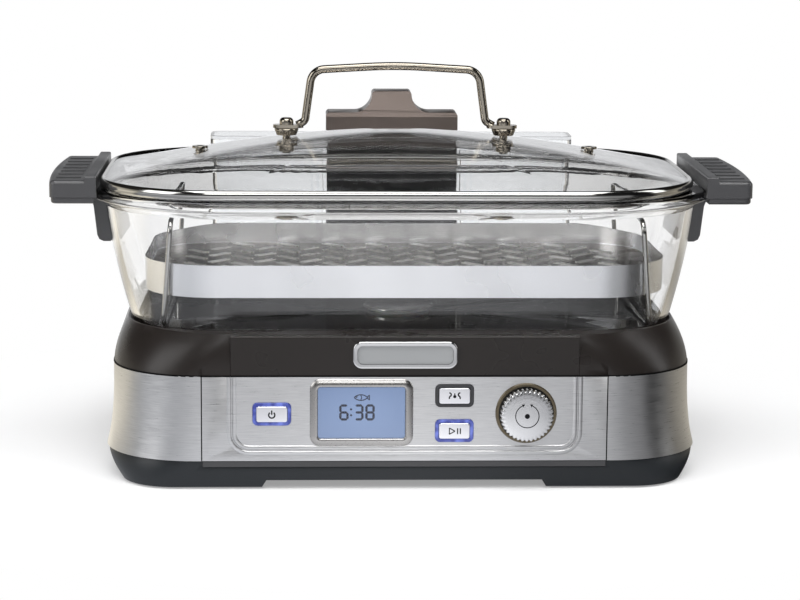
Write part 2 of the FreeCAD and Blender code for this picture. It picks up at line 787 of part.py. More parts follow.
def make_water_pump():
    """Small solenoid pump: coil, bracket and two hose tails."""
    body = box(pump_x - 15, pump_x + 15, pump_front, pump_front + pump_length,
               pump_z, pump_z + 2 * pump_half_height)
    edges = [edge for edge in body.Edges if edge.BoundBox.YLength > pump_length - 1]
    body = body.makeFillet(3, edges)
    tail = hose_radius - 1.2
    tails = rod_back(pump_x, pump_z + pump_half_height, pump_front - 11, pump_front + pump_length + 11, tail)
    return body.fuse(tails).removeSplitter()


def hose_between(points):
    outer = bent_rod(points, 9.0, hose_radius)
    inner = bent_rod(points, 9.0, hose_radius - 1.15)
    return outer.cut(inner)


def make_feed_hose():
    """Silicone hose from the tank socket to the pump."""
    level = pump_z + pump_half_height
    return hose_between([
        Vector(valve_x + socket_drain, tank_middle, socket_floor - 3),
        Vector(valve_x + socket_drain, tank_middle, level),
        Vector(pump_x, tank_middle, level),
        Vector(pump_x, pump_front + pump_length + 2, level),
    ])


def make_boiler_hose():
    """Silicone hose from the pump to the steam dish."""
    level = pump_z + pump_half_height
    return hose_between([
        Vector(pump_x, pump_front - 2, level),
        Vector(pump_x, pot_y + 20, level),
        Vector(-boiler_radius - 26, pot_y, boiler_inlet_z),
        Vector(-boiler_radius - 2, pot_y, boiler_inlet_z),
    ])


def board_posts():
    x0, x1, y0, y1 = power_board
    return [(x, y) for x in (x0 + 6, x1 - 6) for y in (y0 + 6, y1 - 6)]


def make_power_board():
    """Mains board with relay, capacitor and transformer."""
    x0, x1, y0, y1 = power_board
    top = power_board_z + board_thickness
    board = box(x0, x1, y0, y1, power_board_z, top)
    relay = box(x0 + 14, x0 + 14 + 1.25 * relay_height, y0 + 8, y0 + 8 + relay_height, top, top + relay_height)
    transformer = box(x0 + 44, x0 + 44 + transformer_width, y0 + 14, y0 + 12 + transformer_width,
                      top, top + transformer_height)
    capacitor = rod(x1 - 16, y0 + 22, top - 0.5, top + 18, capacitor_radius)
    terminals = box(x0 + 12, x0 + 12 + transformer_width, y1 - 12, y1 - 4, top, top + 9)
    return fuse_all([board, relay, transformer, capacitor, terminals])


# ---------------------------------------------------------------- water tank
def make_tank_socket():
    """Cup under the deck that receives the tank neck, with the pin that opens the valve."""
    bore = neck_diameter / 2 + socket_clearance
    outside = bore + 1.6
    cup = rod(valve_x, tank_middle, socket_floor - 2, tank_seat - 2.8, outside)
    cup = cup.fuse(box(valve_x - 18, valve_x + 18, tank_middle - outside, tank_middle + outside,
                       tank_seat - 5, tank_seat - 2.8))
    drain_x = valve_x + socket_drain
    cup = cup.fuse(rod(drain_x, tank_middle, socket_floor - 13, socket_floor - 1, hose_radius - 1.2))
    cup = cup.cut(rod(valve_x, tank_middle, socket_floor, tank_seat, bore))
    cup = cup.fuse(rod(valve_x, tank_middle, socket_floor - 1, plunger_bottom - 0.3, 1.6))
    cup = cup.cut(rod(drain_x, tank_middle, socket_floor - 14, socket_floor + 0.5, 1.6))
    return cup.removeSplitter()


def tank_channel(spread, z0, z1):
    """Space of the recessed front channel, widened by the given amount."""
    half = spine_half_width + 0.3 + spread
    return box(-half, half, tank_front - 1, tank_front + spine_depth + 0.2 + spread, z0, z1)


def make_tank_body():
    """Clear moulded tub with a recessed channel in front and a valve neck below."""
    half_depth = tank_depth / 2
    body = slab(tank_half_width, half_depth, tank_corner, tank_floor, tank_top - tank_wall - 0.1, tank_middle)
    body = body.cut(tank_channel(0, tank_floor - 1, tank_top + 1))
    hollow = slab(tank_half_width - tank_wall, half_depth - tank_wall, tank_corner - tank_wall,
                  tank_floor + tank_wall, tank_top, tank_middle)
    hollow = hollow.cut(tank_channel(tank_wall, tank_floor, tank_top + 1))
    body = body.fuse(rod(valve_x, tank_middle, neck_bottom, tank_floor + 1, neck_diameter / 2))
    body = body.cut(hollow)
    bore = neck_diameter / 2 - 2.2
    body = body.cut(rod(valve_x, tank_middle, neck_bottom + 1.6, tank_floor + tank_wall + 1, bore))
    return body.cut(rod(valve_x, tank_middle, neck_bottom - 1, neck_bottom + 3, 3.6))


def make_tank_cover():
    """Clear top plate welded to the tub, with the filler mouth under the grip."""
    plate = slab(tank_half_width, tank_depth / 2, tank_corner, tank_top - tank_wall, tank_top, tank_middle)
    plate = plate.cut(tank_channel(0, tank_floor - 1, tank_top + 1))
    mouth = slab(filler_half_width, filler_half_depth, 5, tank_top - tank_wall - 1, tank_top + 1, cap_middle)
    return plate.cut(mouth)


def make_tank_spine():
    """Black back bone in the front channel of the tank."""
    return box(-spine_half_width, spine_half_width, tank_front, tank_front + spine_depth, tank_floor + 1, tank_top)


def make_tank_cap():
    """Grip that closes the filler: shoulders, a raised tab between hollow curves and a plug."""
    bottom = tank_top + 0.3
    sweep = cap_top - cap_shoulder - 2.0
    half = spine_half_width
    tab = cap_tab_half_width
    start = Vector(-half, 0, bottom)
    points = [start, Vector(half, 0, bottom), Vector(half, 0, cap_shoulder)]
    edges = [Part.makeLine(points[0], points[1]), Part.makeLine(points[1], points[2])]
    right_foot = Vector(tab + sweep, 0, cap_shoulder)
    right_neck = Vector(tab, 0, cap_shoulder + sweep)
    bow = sweep * (1 - math.sqrt(0.5))
    right_bow = Vector(tab + bow, 0, cap_shoulder + bow)
    edges.append(Part.makeLine(points[2], right_foot))
    edges.append(Part.Arc(right_foot, right_bow, right_neck).toShape())
    right_top = Vector(tab, 0, cap_top)
    left_top = Vector(-tab, 0, cap_top)
    left_neck = Vector(-tab, 0, cap_shoulder + sweep)
    left_bow = Vector(-tab - bow, 0, cap_shoulder + bow)
    left_foot = Vector(-tab - sweep, 0, cap_shoulder)
    left_corner = Vector(-half, 0, cap_shoulder)
    edges.append(Part.makeLine(right_neck, right_top))
    edges.append(Part.makeLine(right_top, left_top))
    edges.append(Part.makeLine(left_top, left_neck))
    edges.append(Part.Arc(left_neck, left_bow, left_foot).toShape())
    edges.append(Part.makeLine(left_foot, left_corner))
    edges.append(Part.makeLine(left_corner, start))
    depth = tank_depth - 8
    cap = Part.Face(Part.Wire(edges)).extrude(Vector(0, depth, 0))
    cap.translate(Vector(0, tank_front, 0))
    lean_start = cap_shoulder - 3
    wedge = Part.makePolygon([
        Vector(-half - 1, tank_front - 1, lean_start),
        Vector(-half - 1, tank_front, lean_start),
        Vector(-half - 1, tank_front + cap_lean, cap_top + 1),
        Vector(-half - 1, tank_front - 1, cap_top + 1),
        Vector(-half - 1, tank_front - 1, lean_start),
    ])
    cap = cap.cut(Part.Face(wedge).extrude(Vector(2 * half + 2, 0, 0)))
    rounded = [edge for edge in cap.Edges
               if edge.BoundBox.YLength > depth - cap_lean - 1 and abs(edge.CenterOfMass.x) > half - 0.1
               and edge.CenterOfMass.z > cap_shoulder - 1]
    rounded += [edge for edge in cap.Edges
                if edge.BoundBox.YLength > depth - cap_lean - 1 and edge.BoundBox.ZMin > cap_top - 0.1]
    cap = cap.makeFillet(2.4, rounded)
    plug = slab(filler_half_width - 0.5, filler_half_depth - 0.5, 4.5, tank_top - 5, bottom + 1, cap_middle)
    return cap.fuse(plug).removeSplitter()


def make_valve_seal():
    """Rubber ring on the tank neck."""
    outside = neck_diameter / 2 + socket_clearance - 0.2
    ring = rod(valve_x, tank_middle, neck_bottom + 3, neck_bottom + 5.5, outside)
    return ring.cut(rod(valve_x, tank_middle, neck_bottom, neck_bottom + 9, neck_diameter / 2 + 0.02))


def make_valve_plunger():
    """Valve disc and stem, held open while the tank is on the base."""
    disc_z = neck_bottom + 1.6 + valve_lift + 0.2
    disc = rod(valve_x, tank_middle, disc_z, disc_z + 2, neck_diameter / 2 - 2.9)
    stem = rod(valve_x, tank_middle, plunger_bottom, disc_z + 0.5, 2)
    guide = rod(valve_x, tank_middle, disc_z + 1.5, disc_z + 7, 2)
    return fuse_all([disc, stem, guide])


# ---------------------------------------------------------------- pot
def pot_outer(offset):
    """Tapering body of the pot, set in by the given amount, with a rounded foot."""
    bottom = pot_bottom + offset
    sections = []
    for step in range(7):
        z = pot_bottom + (flange_top - pot_bottom) * step / 6
        share = 1 - (1 - step / 6) ** wall_swell
        half_width = pot_floor_half_width + share * (pot_wall_half_width - pot_floor_half_width)
        half_depth = pot_floor_half_depth + share * (pot_wall_half_depth - pot_floor_half_depth)
        corner = pot_floor_corner + share * (pot_wall_corner - pot_floor_corner)
        sections.append((z, half_width - offset, half_depth - offset, corner - offset))
    body = blend(sections, pot_y)
    if offset > 0:
        body = body.cut(box(-300, 300, -300, 300, 0, bottom))
    edges = [edge for edge in body.Edges if edge.BoundBox.ZMax < bottom + 0.5]
    return body.makeFillet(pot_foot_radius - offset, edges)


def make_pot_glass():
    """Pressed glass pot: tapered wall, round lower corners, heavy stepped flange, steam hole."""
    flange = slab(flange_half_width, flange_half_depth, flange_corner, wall_top_z, flange_top, pot_y)
    edges = [edge for edge in flange.Edges if edge.BoundBox.ZLength < 0.01]
    flange = flange.makeFillet(2.4, edges)
    pot = pot_outer(0).fuse([pot_shoulder(0), flange])
    pot = pot.cut(pot_outer(glass_wall))
    pot = pot.cut(rod(0, pot_y, pot_bottom - 1, pot_floor_top + 2, pot_hole_radius))
    return pot


def make_pot_seal():
    """Silicone grommet in the steam hole."""
    floor_top = pot_bottom + glass_wall
    neck = rod(0, pot_y, pot_bottom + 0.2, floor_top + 0.5, pot_hole_radius - 0.2)
    lip = rod(0, pot_y, floor_top + 0.2, floor_top + 1.8, pot_hole_radius + 3)
    return neck.fuse(lip).cut(rod(0, pot_y, pot_bottom - 1, floor_top + 4, pot_hole_radius - 6)).removeSplitter()


def make_steam_inlet_cap():
    """Low pierced steel cap that spreads the steam and keeps food out of the hole."""
    floor_top = pot_bottom + glass_wall + 1.9
    disc = rod(0, pot_y, floor_top, floor_top + 1.8, pot_hole_radius + 6)
    edges = [edge for edge in disc.Edges if edge.BoundBox.ZMin > floor_top + 1.7]
    disc = disc.makeFillet(1.0, edges)
    barrel = rod(0, pot_y, pot_bottom + 1.5, floor_top + 0.5, pot_hole_radius - 6.2)
    cap = disc.fuse(barrel).cut(rod(0, pot_y, pot_bottom, floor_top + 0.6, pot_hole_radius - 7.4))
    holes = []
    for number in range(8):
        angle = math.radians(45 * number)
        x = 5.6 * math.cos(angle)
        y = pot_y + 5.6 * math.sin(angle)
        holes.append(rod(x, y, floor_top - 1, floor_top + 3, 1.4))
    return cap.cut(holes)


def grip_plan(inner_x, side, z0, z1, shrink):
    """Handle plan: straight inner edge and a bowed outer end, as a block."""
    half = grip_half_length - shrink
    corner_x = side * (grip_corner_x - shrink)
    reach_x = side * (grip_reach - shrink)
    near = Vector(side * inner_x, grip_y - half, z0)
    far = Vector(side * inner_x, grip_y + half, z0)
    front = Vector(corner_x, grip_y - half, z0)
    back = Vector(corner_x, grip_y + half, z0)
    middle = Vector(reach_x, grip_y, z0)
    wire = Part.Wire([
        Part.makeLine(near, front),
        Part.Arc(front, middle, back).toShape(),
        Part.makeLine(back, far),
        Part.makeLine(far, near),
    ])
    block = Part.Face(wire).extrude(Vector(0, 0, z1 - z0))
    ends = [edge for edge in block.Edges
            if edge.BoundBox.ZLength > z1 - z0 - 0.01 and abs(edge.CenterOfMass.x) > inner_x + 5]
    return block.makeFillet(4.0, ends)


def flange_block(clearance, z0, z1):
    corner = flange_corner + clearance
    return slab(flange_half_width + clearance, flange_half_depth + clearance, corner, z0, z1, pot_y)


def make_handle(side):
    """Upper half of a pot handle: bowed grip with ribs and a raised collar by the rim."""
    body = grip_plan(handle_inner_x, side, clamp_split, grip_top, 0)
    edges = [edge for edge in body.Edges
             if edge.BoundBox.ZMin > grip_top - 0.01 and abs(edge.CenterOfMass.x) > handle_inner_x + 1]
    body = body.makeFillet(2.6, edges)
    collar_x = sorted((side * handle_inner_x, side * (handle_inner_x + collar_width)))
    collar = box(collar_x[0], collar_x[1], grip_y - grip_half_length, grip_y + grip_half_length,
                 clamp_split, collar_top)
    edges = [edge for edge in collar.Edges if edge.BoundBox.ZMin > collar_top - 0.01]
    collar = collar.makeFillet(1.2, edges)
    body = body.fuse(collar)
    first = grip_y - grip_half_length + 16
    pitch = 2 * (grip_half_length - 16) / (rib_count - 1)
    rib_x = sorted((side * (handle_inner_x + collar_width + 3), side * (grip_corner_x - 3)))
    for number in range(rib_count):
        y = first + number * pitch
        rib = box(rib_x[0], rib_x[1], y - rib_half_width, y + rib_half_width, grip_top - 0.5, grip_top + rib_height)
        body = body.fuse(rib)
    body = body.cut(flange_block(0.15, wall_top_z - 5, flange_top + 0.15))
    for y in screw_rows():
        body = body.cut(rod(side * screw_column, y, clamp_split - 1, grip_top - 4, screw_radius))
    return body.removeSplitter()


def screw_rows():
    return (grip_y - 38, grip_y + 38)


def pot_half_width(z):
    """Half width of the outside of the pot wall at height z."""
    share = 1 - (1 - (z - pot_bottom) / (flange_top - pot_bottom)) ** wall_swell
    return pot_floor_half_width + share * (pot_wall_half_width - pot_floor_half_width)


def leg_outline(side):
    """Edge-on outline of the leg that hugs the tapered wall."""
    wall_top = pot_half_width(shoulder_bottom) + leg_gap
    wall_bottom = pot_half_width(leg_bottom) + leg_gap + 0.3
    outline = [
        (wall_top, clamp_split),
        (leg_top_x + 8, clamp_split),
        (leg_top_x + 8, grip_bottom + 0.5),
        (leg_top_x + 4.5, grip_bottom - 0.6),
        (leg_top_x + 1.4, grip_bottom - 2.8),
        (leg_top_x, grip_bottom - 6.5),
        (leg_bottom_x, leg_bottom + 4),
        (leg_bottom_x - 1.3, leg_bottom + 1.2),
        (leg_bottom_x - 4, leg_bottom),
        (wall_bottom + 1.6, leg_bottom),
        (wall_bottom, leg_bottom + 1.4),
        (wall_top, shoulder_bottom - 1),
    ]
    return [(side * x, z) for x, z in outline]


def pot_shoulder(spread):
    """Sloping ledge between the wall and the flange, grown by the given amount."""
    sections = []
    for z, step_out in ((shoulder_bottom, 0.6), (shoulder_bottom + 2.2, 3.2), (wall_top_z + 0.2, 4.8)):
        half_width = pot_half_width(shoulder_bottom) + step_out + spread
        half_depth = pot_wall_half_depth - 0.8 + step_out + spread
        sections.append(rounded_wire(half_width, half_depth, pot_wall_corner + step_out + spread, z - spread, pot_y))
    return Part.makeLoft(sections, True, True)


def make_handle_clamp(side):
    """Lower half of a pot handle: grip pan and the leg that steadies it on the wall."""
    pan = grip_plan(handle_inner_x + 1.5, side, grip_bottom, clamp_split - 0.15, 0.8)
    edges = [edge for edge in pan.Edges
             if edge.BoundBox.ZMax < grip_bottom + 0.01 and abs(edge.CenterOfMass.x) > handle_inner_x + 3]
    pan = pan.makeFillet(1.6, edges)
    leg = outline_prism(leg_outline(side), pot_y - leg_half_length, pot_y + leg_half_length)
    leg = leg.common(box(-300, 300, -300, 300, 0, clamp_split - 0.15))
    clamp = pan.fuse(leg)
    clamp = clamp.cut(flange_block(0.15, wall_top_z - 0.15, flange_top + 0.15))
    clamp = clamp.cut(pot_shoulder(0.3))
    for y in screw_rows():
        clamp = clamp.cut(rod(side * screw_column, y, grip_bottom - 1, clamp_split + 1, screw_radius + 0.2))
        clamp = clamp.cut(rod(side * screw_column, y, grip_bottom - 1, grip_bottom + 2.2, screw_head_radius + 0.2))
    return clamp.removeSplitter()


def make_handle_screws():
    """Two screws under each handle."""
    screws = []
    for side in (-1, 1):
        for y in screw_rows():
            head = rod(side * screw_column, y, grip_bottom + 0.2, grip_bottom + 2.2, screw_head_radius)
            shank = rod(side * screw_column, y, grip_bottom + 2, grip_top - 4.5, screw_radius)
            screws.append(head.fuse(shank).removeSplitter())
    return Part.makeCompound(screws)


# ---------------------------------------------------------------- tray
def make_steam_tray():
    """Folded steel tray, its floor pierced with a herringbone of slots."""
    wall_ring = slab(tray_half_width, tray_half_depth, tray_corner, tray_bottom, tray_top, pot_y)
    wall_ring = wall_ring.cut(slab(tray_half_width - tray_sheet, tray_half_depth - tray_sheet,
                                   tray_corner - tray_sheet, tray_bottom - 1, tray_top + 1, pot_y))
    floor = slab(tray_half_width - tray_sheet / 2, tray_half_depth - tray_sheet / 2, tray_corner - tray_sheet / 2,
                 tray_floor, tray_floor + tray_sheet, pot_y)
    clear_x = tray_half_width - slot_length / 2 - 8
    clear_y = tray_half_depth - slot_length / 2 - 5
    columns = int(clear_x / slot_column_pitch)
    slots = []
    for column in range(-columns, columns + 1):
        x = column * slot_column_pitch
        leaning = 45 if column % 2 == 0 else -45
        rows = int(clear_y / slot_row_pitch) + 1
        for row in range(-rows, rows + 1):
            y = row * slot_row_pitch + (0 if column % 2 == 0 else slot_row_pitch / 2)
            corner_x = max(0, abs(x) - (tray_half_width - tray_corner))
            corner_y = max(0, abs(y) - (tray_half_depth - tray_corner))
            if abs(y) > clear_y or math.hypot(corner_x, corner_y) > tray_corner - slot_length / 2 - 4:
                continue
            slot = slab(slot_length / 2, slot_width / 2, slot_width / 2 - 0.01, tray_floor - 1, tray_floor + 2, 0)
            slot.rotate(Vector(0, 0, 0), Vector(0, 0, 1), leaning)
            slot.translate(Vector(x, pot_y + y, 0))
            slots.append(slot)
    floor = floor.cut(slots)
    return wall_ring.fuse(floor)


def loop_reach():
    """Half length of a loop, so that its legs touch the tray just outside the rounded corners."""
    x = loop_x - loop_lean * (tray_top - pot_bottom) / (loop_top - pot_bottom)
    inside = tray_corner - (tray_half_width - x)
    outline = tray_half_depth - tray_corner + math.sqrt(tray_corner ** 2 - inside ** 2)
    return outline + wire_diameter / 2 + 0.25


def make_tray_wires():
    """Two closed wire loops welded to the tray: feet below and lifting bars above."""
    low = pot_bottom + glass_wall + 0.5 + wire_diameter / 2
    reach = loop_reach()
    loops = []
    for side in (-1, 1):
        x_low = side * loop_x
        x_high = side * (loop_x - loop_lean)
        points = [
            Vector(x_low, pot_y, low),
            Vector(x_low, pot_y + reach, low),
            Vector(x_high, pot_y + reach, loop_top),
            Vector(x_high, pot_y - reach, loop_top),
            Vector(x_low, pot_y - reach, low),
            Vector(x_low, pot_y, low),
        ]
        loops.append(bent_rod(points, 7.0, wire_diameter / 2))
    return Part.makeCompound(loops)


# ---------------------------------------------------------------- lid
def dome_height(share):
    """Height of the outer glass where the plan has shrunk to this share of the rim."""
    return glass_edge + lid_glass_thickness + dome_rise * (1 - share ** dome_swell)


def dome(drop, spread):
    """Solid under the dome, lowered by drop and widened by spread."""
    sections = []
    for share in (1.0, 0.9, 0.76, 0.6, 0.42, 0.25, 0.1):
        z = dome_height(share) - drop
        half_width = dome_half_width * share + spread
        half_depth = dome_half_depth * share + spread
        sections.append((z, half_width, half_depth, dome_corner * share + spread))
    return blend(sections, pot_y)


def make_lid_glass():
    """Domed glass with holes for the two bolts and the two vents."""
    edge_top = glass_edge + lid_glass_thickness
    skirt = slab(dome_half_width, dome_half_depth, dome_corner, glass_edge, edge_top, pot_y)
    glass = skirt.fuse(dome(0, 0))
    under = dome(lid_glass_thickness, -0.8)
    inner_plan = slab(dome_half_width - 0.8, dome_half_depth - 0.8, dome_corner - 0.8, glass_edge - 5,
                      glass_edge + 0.01, pot_y)
    glass = glass.cut(under).cut(inner_plan)
    for side in (-1, 1):
        glass = glass.cut(rod(side * bail_bolt_x, pot_y, rim_bottom, bail_top, bolt_radius + 0.4))
        glass = glass.cut(rod(side * vent_x, pot_y, rim_bottom, bail_top, vent_radius))
    return glass


def make_lid_rim():
    """Rolled steel band that grips the edge of the glass."""
    band = slab(lid_half_width, lid_half_depth, lid_corner, rim_bottom, rim_top, pot_y)
    edges = [edge for edge in band.Edges if edge.BoundBox.ZLength < 0.01]
    band = band.makeFillet(1.6, edges)
    band = band.cut(slab(lid_half_width - rim_band, lid_half_depth - rim_band, lid_corner - rim_band,
                         rim_bottom - 1, rim_top + 1, pot_y))
    skirt = slab(dome_half_width + 0.2, dome_half_depth + 0.2, dome_corner + 0.2,
                 glass_edge - 0.2, glass_edge + lid_glass_thickness + 0.2, pot_y)
    over = dome(-0.2, 0.2)
    return band.cut(skirt).cut(over)


def bail_seat_z():
    share = bail_bolt_x / dome_half_width
    return dome_height(share)


def make_handle_washers():
    """Domed metal cup under each foot of the handle and a soft washer inside the lid."""
    washers = []
    for side in (-1, 1):
        x = side * bail_bolt_x
        top = bail_seat_z() + cup_height
        cup = Part.makeCone(6.2, 8.0, cup_height - 1.2, Vector(x, pot_y, bail_seat_z() + 1.2))
        edges = [edge for edge in cup.Edges if edge.BoundBox.ZMin > top - 0.1]
        cup = cup.makeFillet(1.0, edges)
        cup = cup.cut(rod(x, pot_y, bail_seat_z() - 1, top + 1, bolt_radius + 0.1))
        inner_top = bail_seat_z() - lid_glass_thickness - 1.0
        soft = rod(x, pot_y, inner_top - 1.6, inner_top, 7.0)
        soft = soft.cut(rod(x, pot_y, inner_top - 3, inner_top + 2, bolt_radius + 0.1))
        washers.append(cup)
        washers.append(soft)
    return Part.makeCompound(washers)


def make_handle_bolts():
    """Round-headed bolt through each foot, washer and the glass."""
    bolts = []
    seat = bail_seat_z() + cup_height + foot_thickness + 0.1
    tip = bail_seat_z() - lid_glass_thickness - 7.5
    for side in (-1, 1):
        x = side * bail_bolt_x
        head = rod(x, pot_y, seat, seat + 4.4, 4.4)
        edges = [edge for edge in head.Edges if edge.BoundBox.ZMin > seat + 4.3]
        head = head.makeFillet(2.6, edges)
        bolts.append(head.fuse(rod(x, pot_y, tip, seat + 1, bolt_radius)).removeSplitter())
    return Part.makeCompound(bolts)


def make_handle_nuts():
    """Hexagon nut on each bolt, under the soft washer."""
    nuts = []
    top = bail_seat_z() - lid_glass_thickness - 2.7
    for side in (-1, 1):
        corners = []
        for number in range(7):
            angle = math.radians(60 * number)
            x = side * bail_bolt_x + 4.6 * math.cos(angle)
            corners.append(Vector(x, pot_y + 4.6 * math.sin(angle), top - 3.6))
        nut = Part.Face(Part.makePolygon(corners)).extrude(Vector(0, 0, 3.6))
        nuts.append(nut.cut(rod(side * bail_bolt_x, pot_y, top - 5, top + 1, bolt_radius + 0.02)))
    return Part.makeCompound(nuts)


def make_lid_handle():
    """Bail of round wire: arched bar, flared legs and flattened feet with bolt holes."""
    radius = bail_wire / 2
    foot_z = bail_seat_z() + cup_height + foot_thickness / 2 + 0.05
    bar_z = bail_top - radius
    low_x = bail_half_width + bail_flare
    points = [
        Vector(-low_x - 5, pot_y, foot_z + 0.6),
        Vector(-low_x, pot_y, foot_z + 3.2),
        Vector(-bail_half_width, pot_y, bar_z - 2.6),
        Vector(0, pot_y, bar_z + 0.4),
        Vector(bail_half_width, pot_y, bar_z - 2.6),
        Vector(low_x, pot_y, foot_z + 3.2),
        Vector(low_x + 5, pot_y, foot_z + 0.6),
    ]
    wire = bail_sweep(points, radius)
    pieces = [wire]
    for side in (-1, 1):
        inner = low_x + 1.0
        outer = inner + foot_length - 1.0
        x0, x1 = sorted((side * inner, side * outer))
        foot = slab((x1 - x0) / 2, 4.6, 4.5, foot_z - foot_thickness / 2, foot_z + foot_thickness / 2, pot_y)
        foot.translate(Vector((x0 + x1) / 2, 0, 0))
        pieces.append(foot)
    handle = fuse_all(pieces)
    for side in (-1, 1):
        handle = handle.cut(rod(side * bail_bolt_x, pot_y, foot_z - 3, foot_z + 20, bolt_radius + 0.1))
        handle = handle.cut(rod(side * bail_bolt_x, pot_y, foot_z + foot_thickness / 2, foot_z + 9, 4.6))
        handle = handle.cut(rod(side * bail_bolt_x, pot_y, foot_z - 6, foot_z - foot_thickness / 2, 8.4))
    return handle


def bail_sweep(points, radius):
    """Wire of the handle: tight bends at the feet, wider ones at the top corners."""
    bends = [4.0, 9.0, 300.0, 9.0, 4.0]
    edges = []
    start = points[0]
    for number, bend in enumerate(bends):
        before, corner, after = points[number:number + 3]
        back = (before - corner).normalize()
        ahead = (after - corner).normalize()
        half_turn = (math.pi - back.getAngle(ahead)) / 2
        trim = bend * math.tan(half_turn)
        enter = corner + back * trim
        leave = corner + ahead * trim
        inward = (back + ahead).normalize()
        middle = corner + inward * (bend / math.cos(half_turn) - bend)
        edges.append(Part.makeLine(start, enter))
        edges.append(Part.Arc(enter, middle, leave).toShape())
        start = leave
    edges.append(Part.makeLine(start, points[-1]))
    profile = Part.Wire([Part.makeCircle(radius, points[0], points[1] - points[0])])
    return Part.Wire(edges).makePipeShell([profile], True, False)


def make_vent_grommets():
    """Metal eyelet in each vent hole."""
    share = vent_x / dome_half_width
    top = dome_height(share)
    slope = dome_swell * dome_rise * share ** (dome_swell - 1) / dome_half_width
    seat = top + slope * vent_rim_radius + 0.2
    eyelets = []
    for side in (-1, 1):
        x = side * vent_x
        rim = rod(x, pot_y, seat, seat + 1.4, vent_rim_radius)
        edges = [edge for edge in rim.Edges if edge.BoundBox.ZMin > seat + 1.3]
        rim = rim.makeFillet(0.6, edges)
        barrel = rod(x, pot_y, top - lid_glass_thickness - 2, seat + 0.5, vent_radius - 0.1)
        eyelets.append(rim.fuse(barrel).cut(rod(x, pot_y, top - 9, top + 4, vent_radius - 0.9)).removeSplitter())
    return Part.makeCompound(eyelets)


os.makedirs("parts", exist_ok=True)
save(make_base_pan(), "base_pan")
save(make_rubber_feet(), "rubber_feet")
save(make_steel_wrap(-1), "left_steel_wrap")
save(make_steel_wrap(1), "right_steel_wrap")
save(make_rear_panel(), "rear_panel")
save(make_power_inlet(), "power_inlet")
save(make_front_fascia(), "front_fascia")
save(make_fascia_carrier(), "fascia_carrier")
save(make_display_bezel(), "display_bezel")
save(make_display_window(), "display_window")
save(make_lcd_module(), "lcd_module")
save(Part.makeCompound([make_button_ring("power"), make_button_ring("start")]), "lit_button_rings")
save(make_button_ring("steam"), "steam_button_ring")
save(make_button("power"), "power_button")
save(make_button("steam"), "steam_button")
save(make_button("start"), "start_button")
save(make_tact_switches(), "tact_switches")
save(make_control_board(), "control_board")
save(make_encoder_body(), "encoder_body")
save(make_encoder_rotor(), "encoder_rotor")
save(make_encoder_shaft(), "encoder_shaft")
save(make_knob_cap(), "knob_cap")
save(make_knob_ring(), "knob_ring")
save(make_deck_trim(), "deck_trim")
save(make_front_trim(), "front_trim")
save(make_badge_bezel(), "badge_bezel")
save(make_badge_inset(), "badge_inset")
save(make_base_screws(), "base_screws")
save(make_boiler_body(), "boiler_body")
save(make_heating_element(), "heating_element")
save(make_thermostat(), "thermostat")
save(make_steam_spout(), "steam_spout")
save(make_water_pump(), "water_pump")
save(make_feed_hose(), "feed_hose")
save(make_boiler_hose(), "boiler_hose")
save(make_power_board(), "power_board")
save(make_tank_socket(), "tank_socket")
save(make_tank_body(), "tank_body")
save(make_tank_cover(), "tank_cover")
save(make_tank_spine(), "tank_spine")
save(make_tank_cap(), "tank_cap")
save(make_valve_seal(), "valve_seal")
save(make_valve_plunger(), "valve_plunger")
save(make_pot_glass(), "pot_glass")
save(make_pot_seal(), "pot_seal")
save(make_steam_inlet_cap(), "steam_inlet_cap")
save(make_handle(-1), "left_handle")
save(make_handle(1), "right_handle")
save(make_handle_clamp(-1), "left_handle_clamp")
save(make_handle_clamp(1), "right_handle_clamp")
save(make_handle_screws(), "handle_screws")
save(make_steam_tray(), "steam_tray", tray_shift)
save(make_tray_wires(), "tray_wires", tray_shift)
save(make_lid_glass(), "lid_glass", lid_shift)
save(make_lid_rim(), "lid_rim", lid_shift)
save(make_lid_handle(), "lid_handle", lid_shift)
save(make_handle_washers(), "handle_washers", lid_shift)
save(make_handle_bolts(), "handle_bolts", lid_shift)
save(make_handle_nuts(), "handle_nuts", lid_shift)
save(make_vent_grommets(), "vent_grommets", lid_shift)
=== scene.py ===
import math

import bmesh
import bpy
from mathutils import Matrix, Vector


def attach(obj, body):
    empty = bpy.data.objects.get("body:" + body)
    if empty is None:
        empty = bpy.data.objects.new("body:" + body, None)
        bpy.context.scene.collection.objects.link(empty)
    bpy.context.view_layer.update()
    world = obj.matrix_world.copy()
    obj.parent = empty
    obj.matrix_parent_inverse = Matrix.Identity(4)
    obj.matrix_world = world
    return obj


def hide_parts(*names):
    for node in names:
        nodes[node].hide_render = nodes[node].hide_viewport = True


# Countertop food steamer: a heated steel and plastic base, a clear water tank behind,
# a lift-off glass pot with its pierced tray, and a domed glass lid. Metres, +Z up.

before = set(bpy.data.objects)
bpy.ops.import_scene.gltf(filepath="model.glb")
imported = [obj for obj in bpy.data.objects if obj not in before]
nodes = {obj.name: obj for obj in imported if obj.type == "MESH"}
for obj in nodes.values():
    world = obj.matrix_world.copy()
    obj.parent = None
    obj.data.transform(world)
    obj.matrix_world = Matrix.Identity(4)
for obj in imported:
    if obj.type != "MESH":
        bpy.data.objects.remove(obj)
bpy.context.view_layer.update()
scene = bpy.context.scene
MM = 0.001

# ---- Rubber feet ----
# Four soft discs of moulded black rubber, pressed into shallow sockets under the skirt.
# Only their thin edge shows between the base and the counter.


def linear(hex_colour):
    """Linear red, green, blue and alpha of an sRGB hex colour."""
    channels = [int(hex_colour[start:start + 2], 16) / 255 for start in (1, 3, 5)]
    return [c / 12.92 if c <= 0.04045 else ((c + 0.055) / 1.055) ** 2.4 for c in channels] + [1.0]


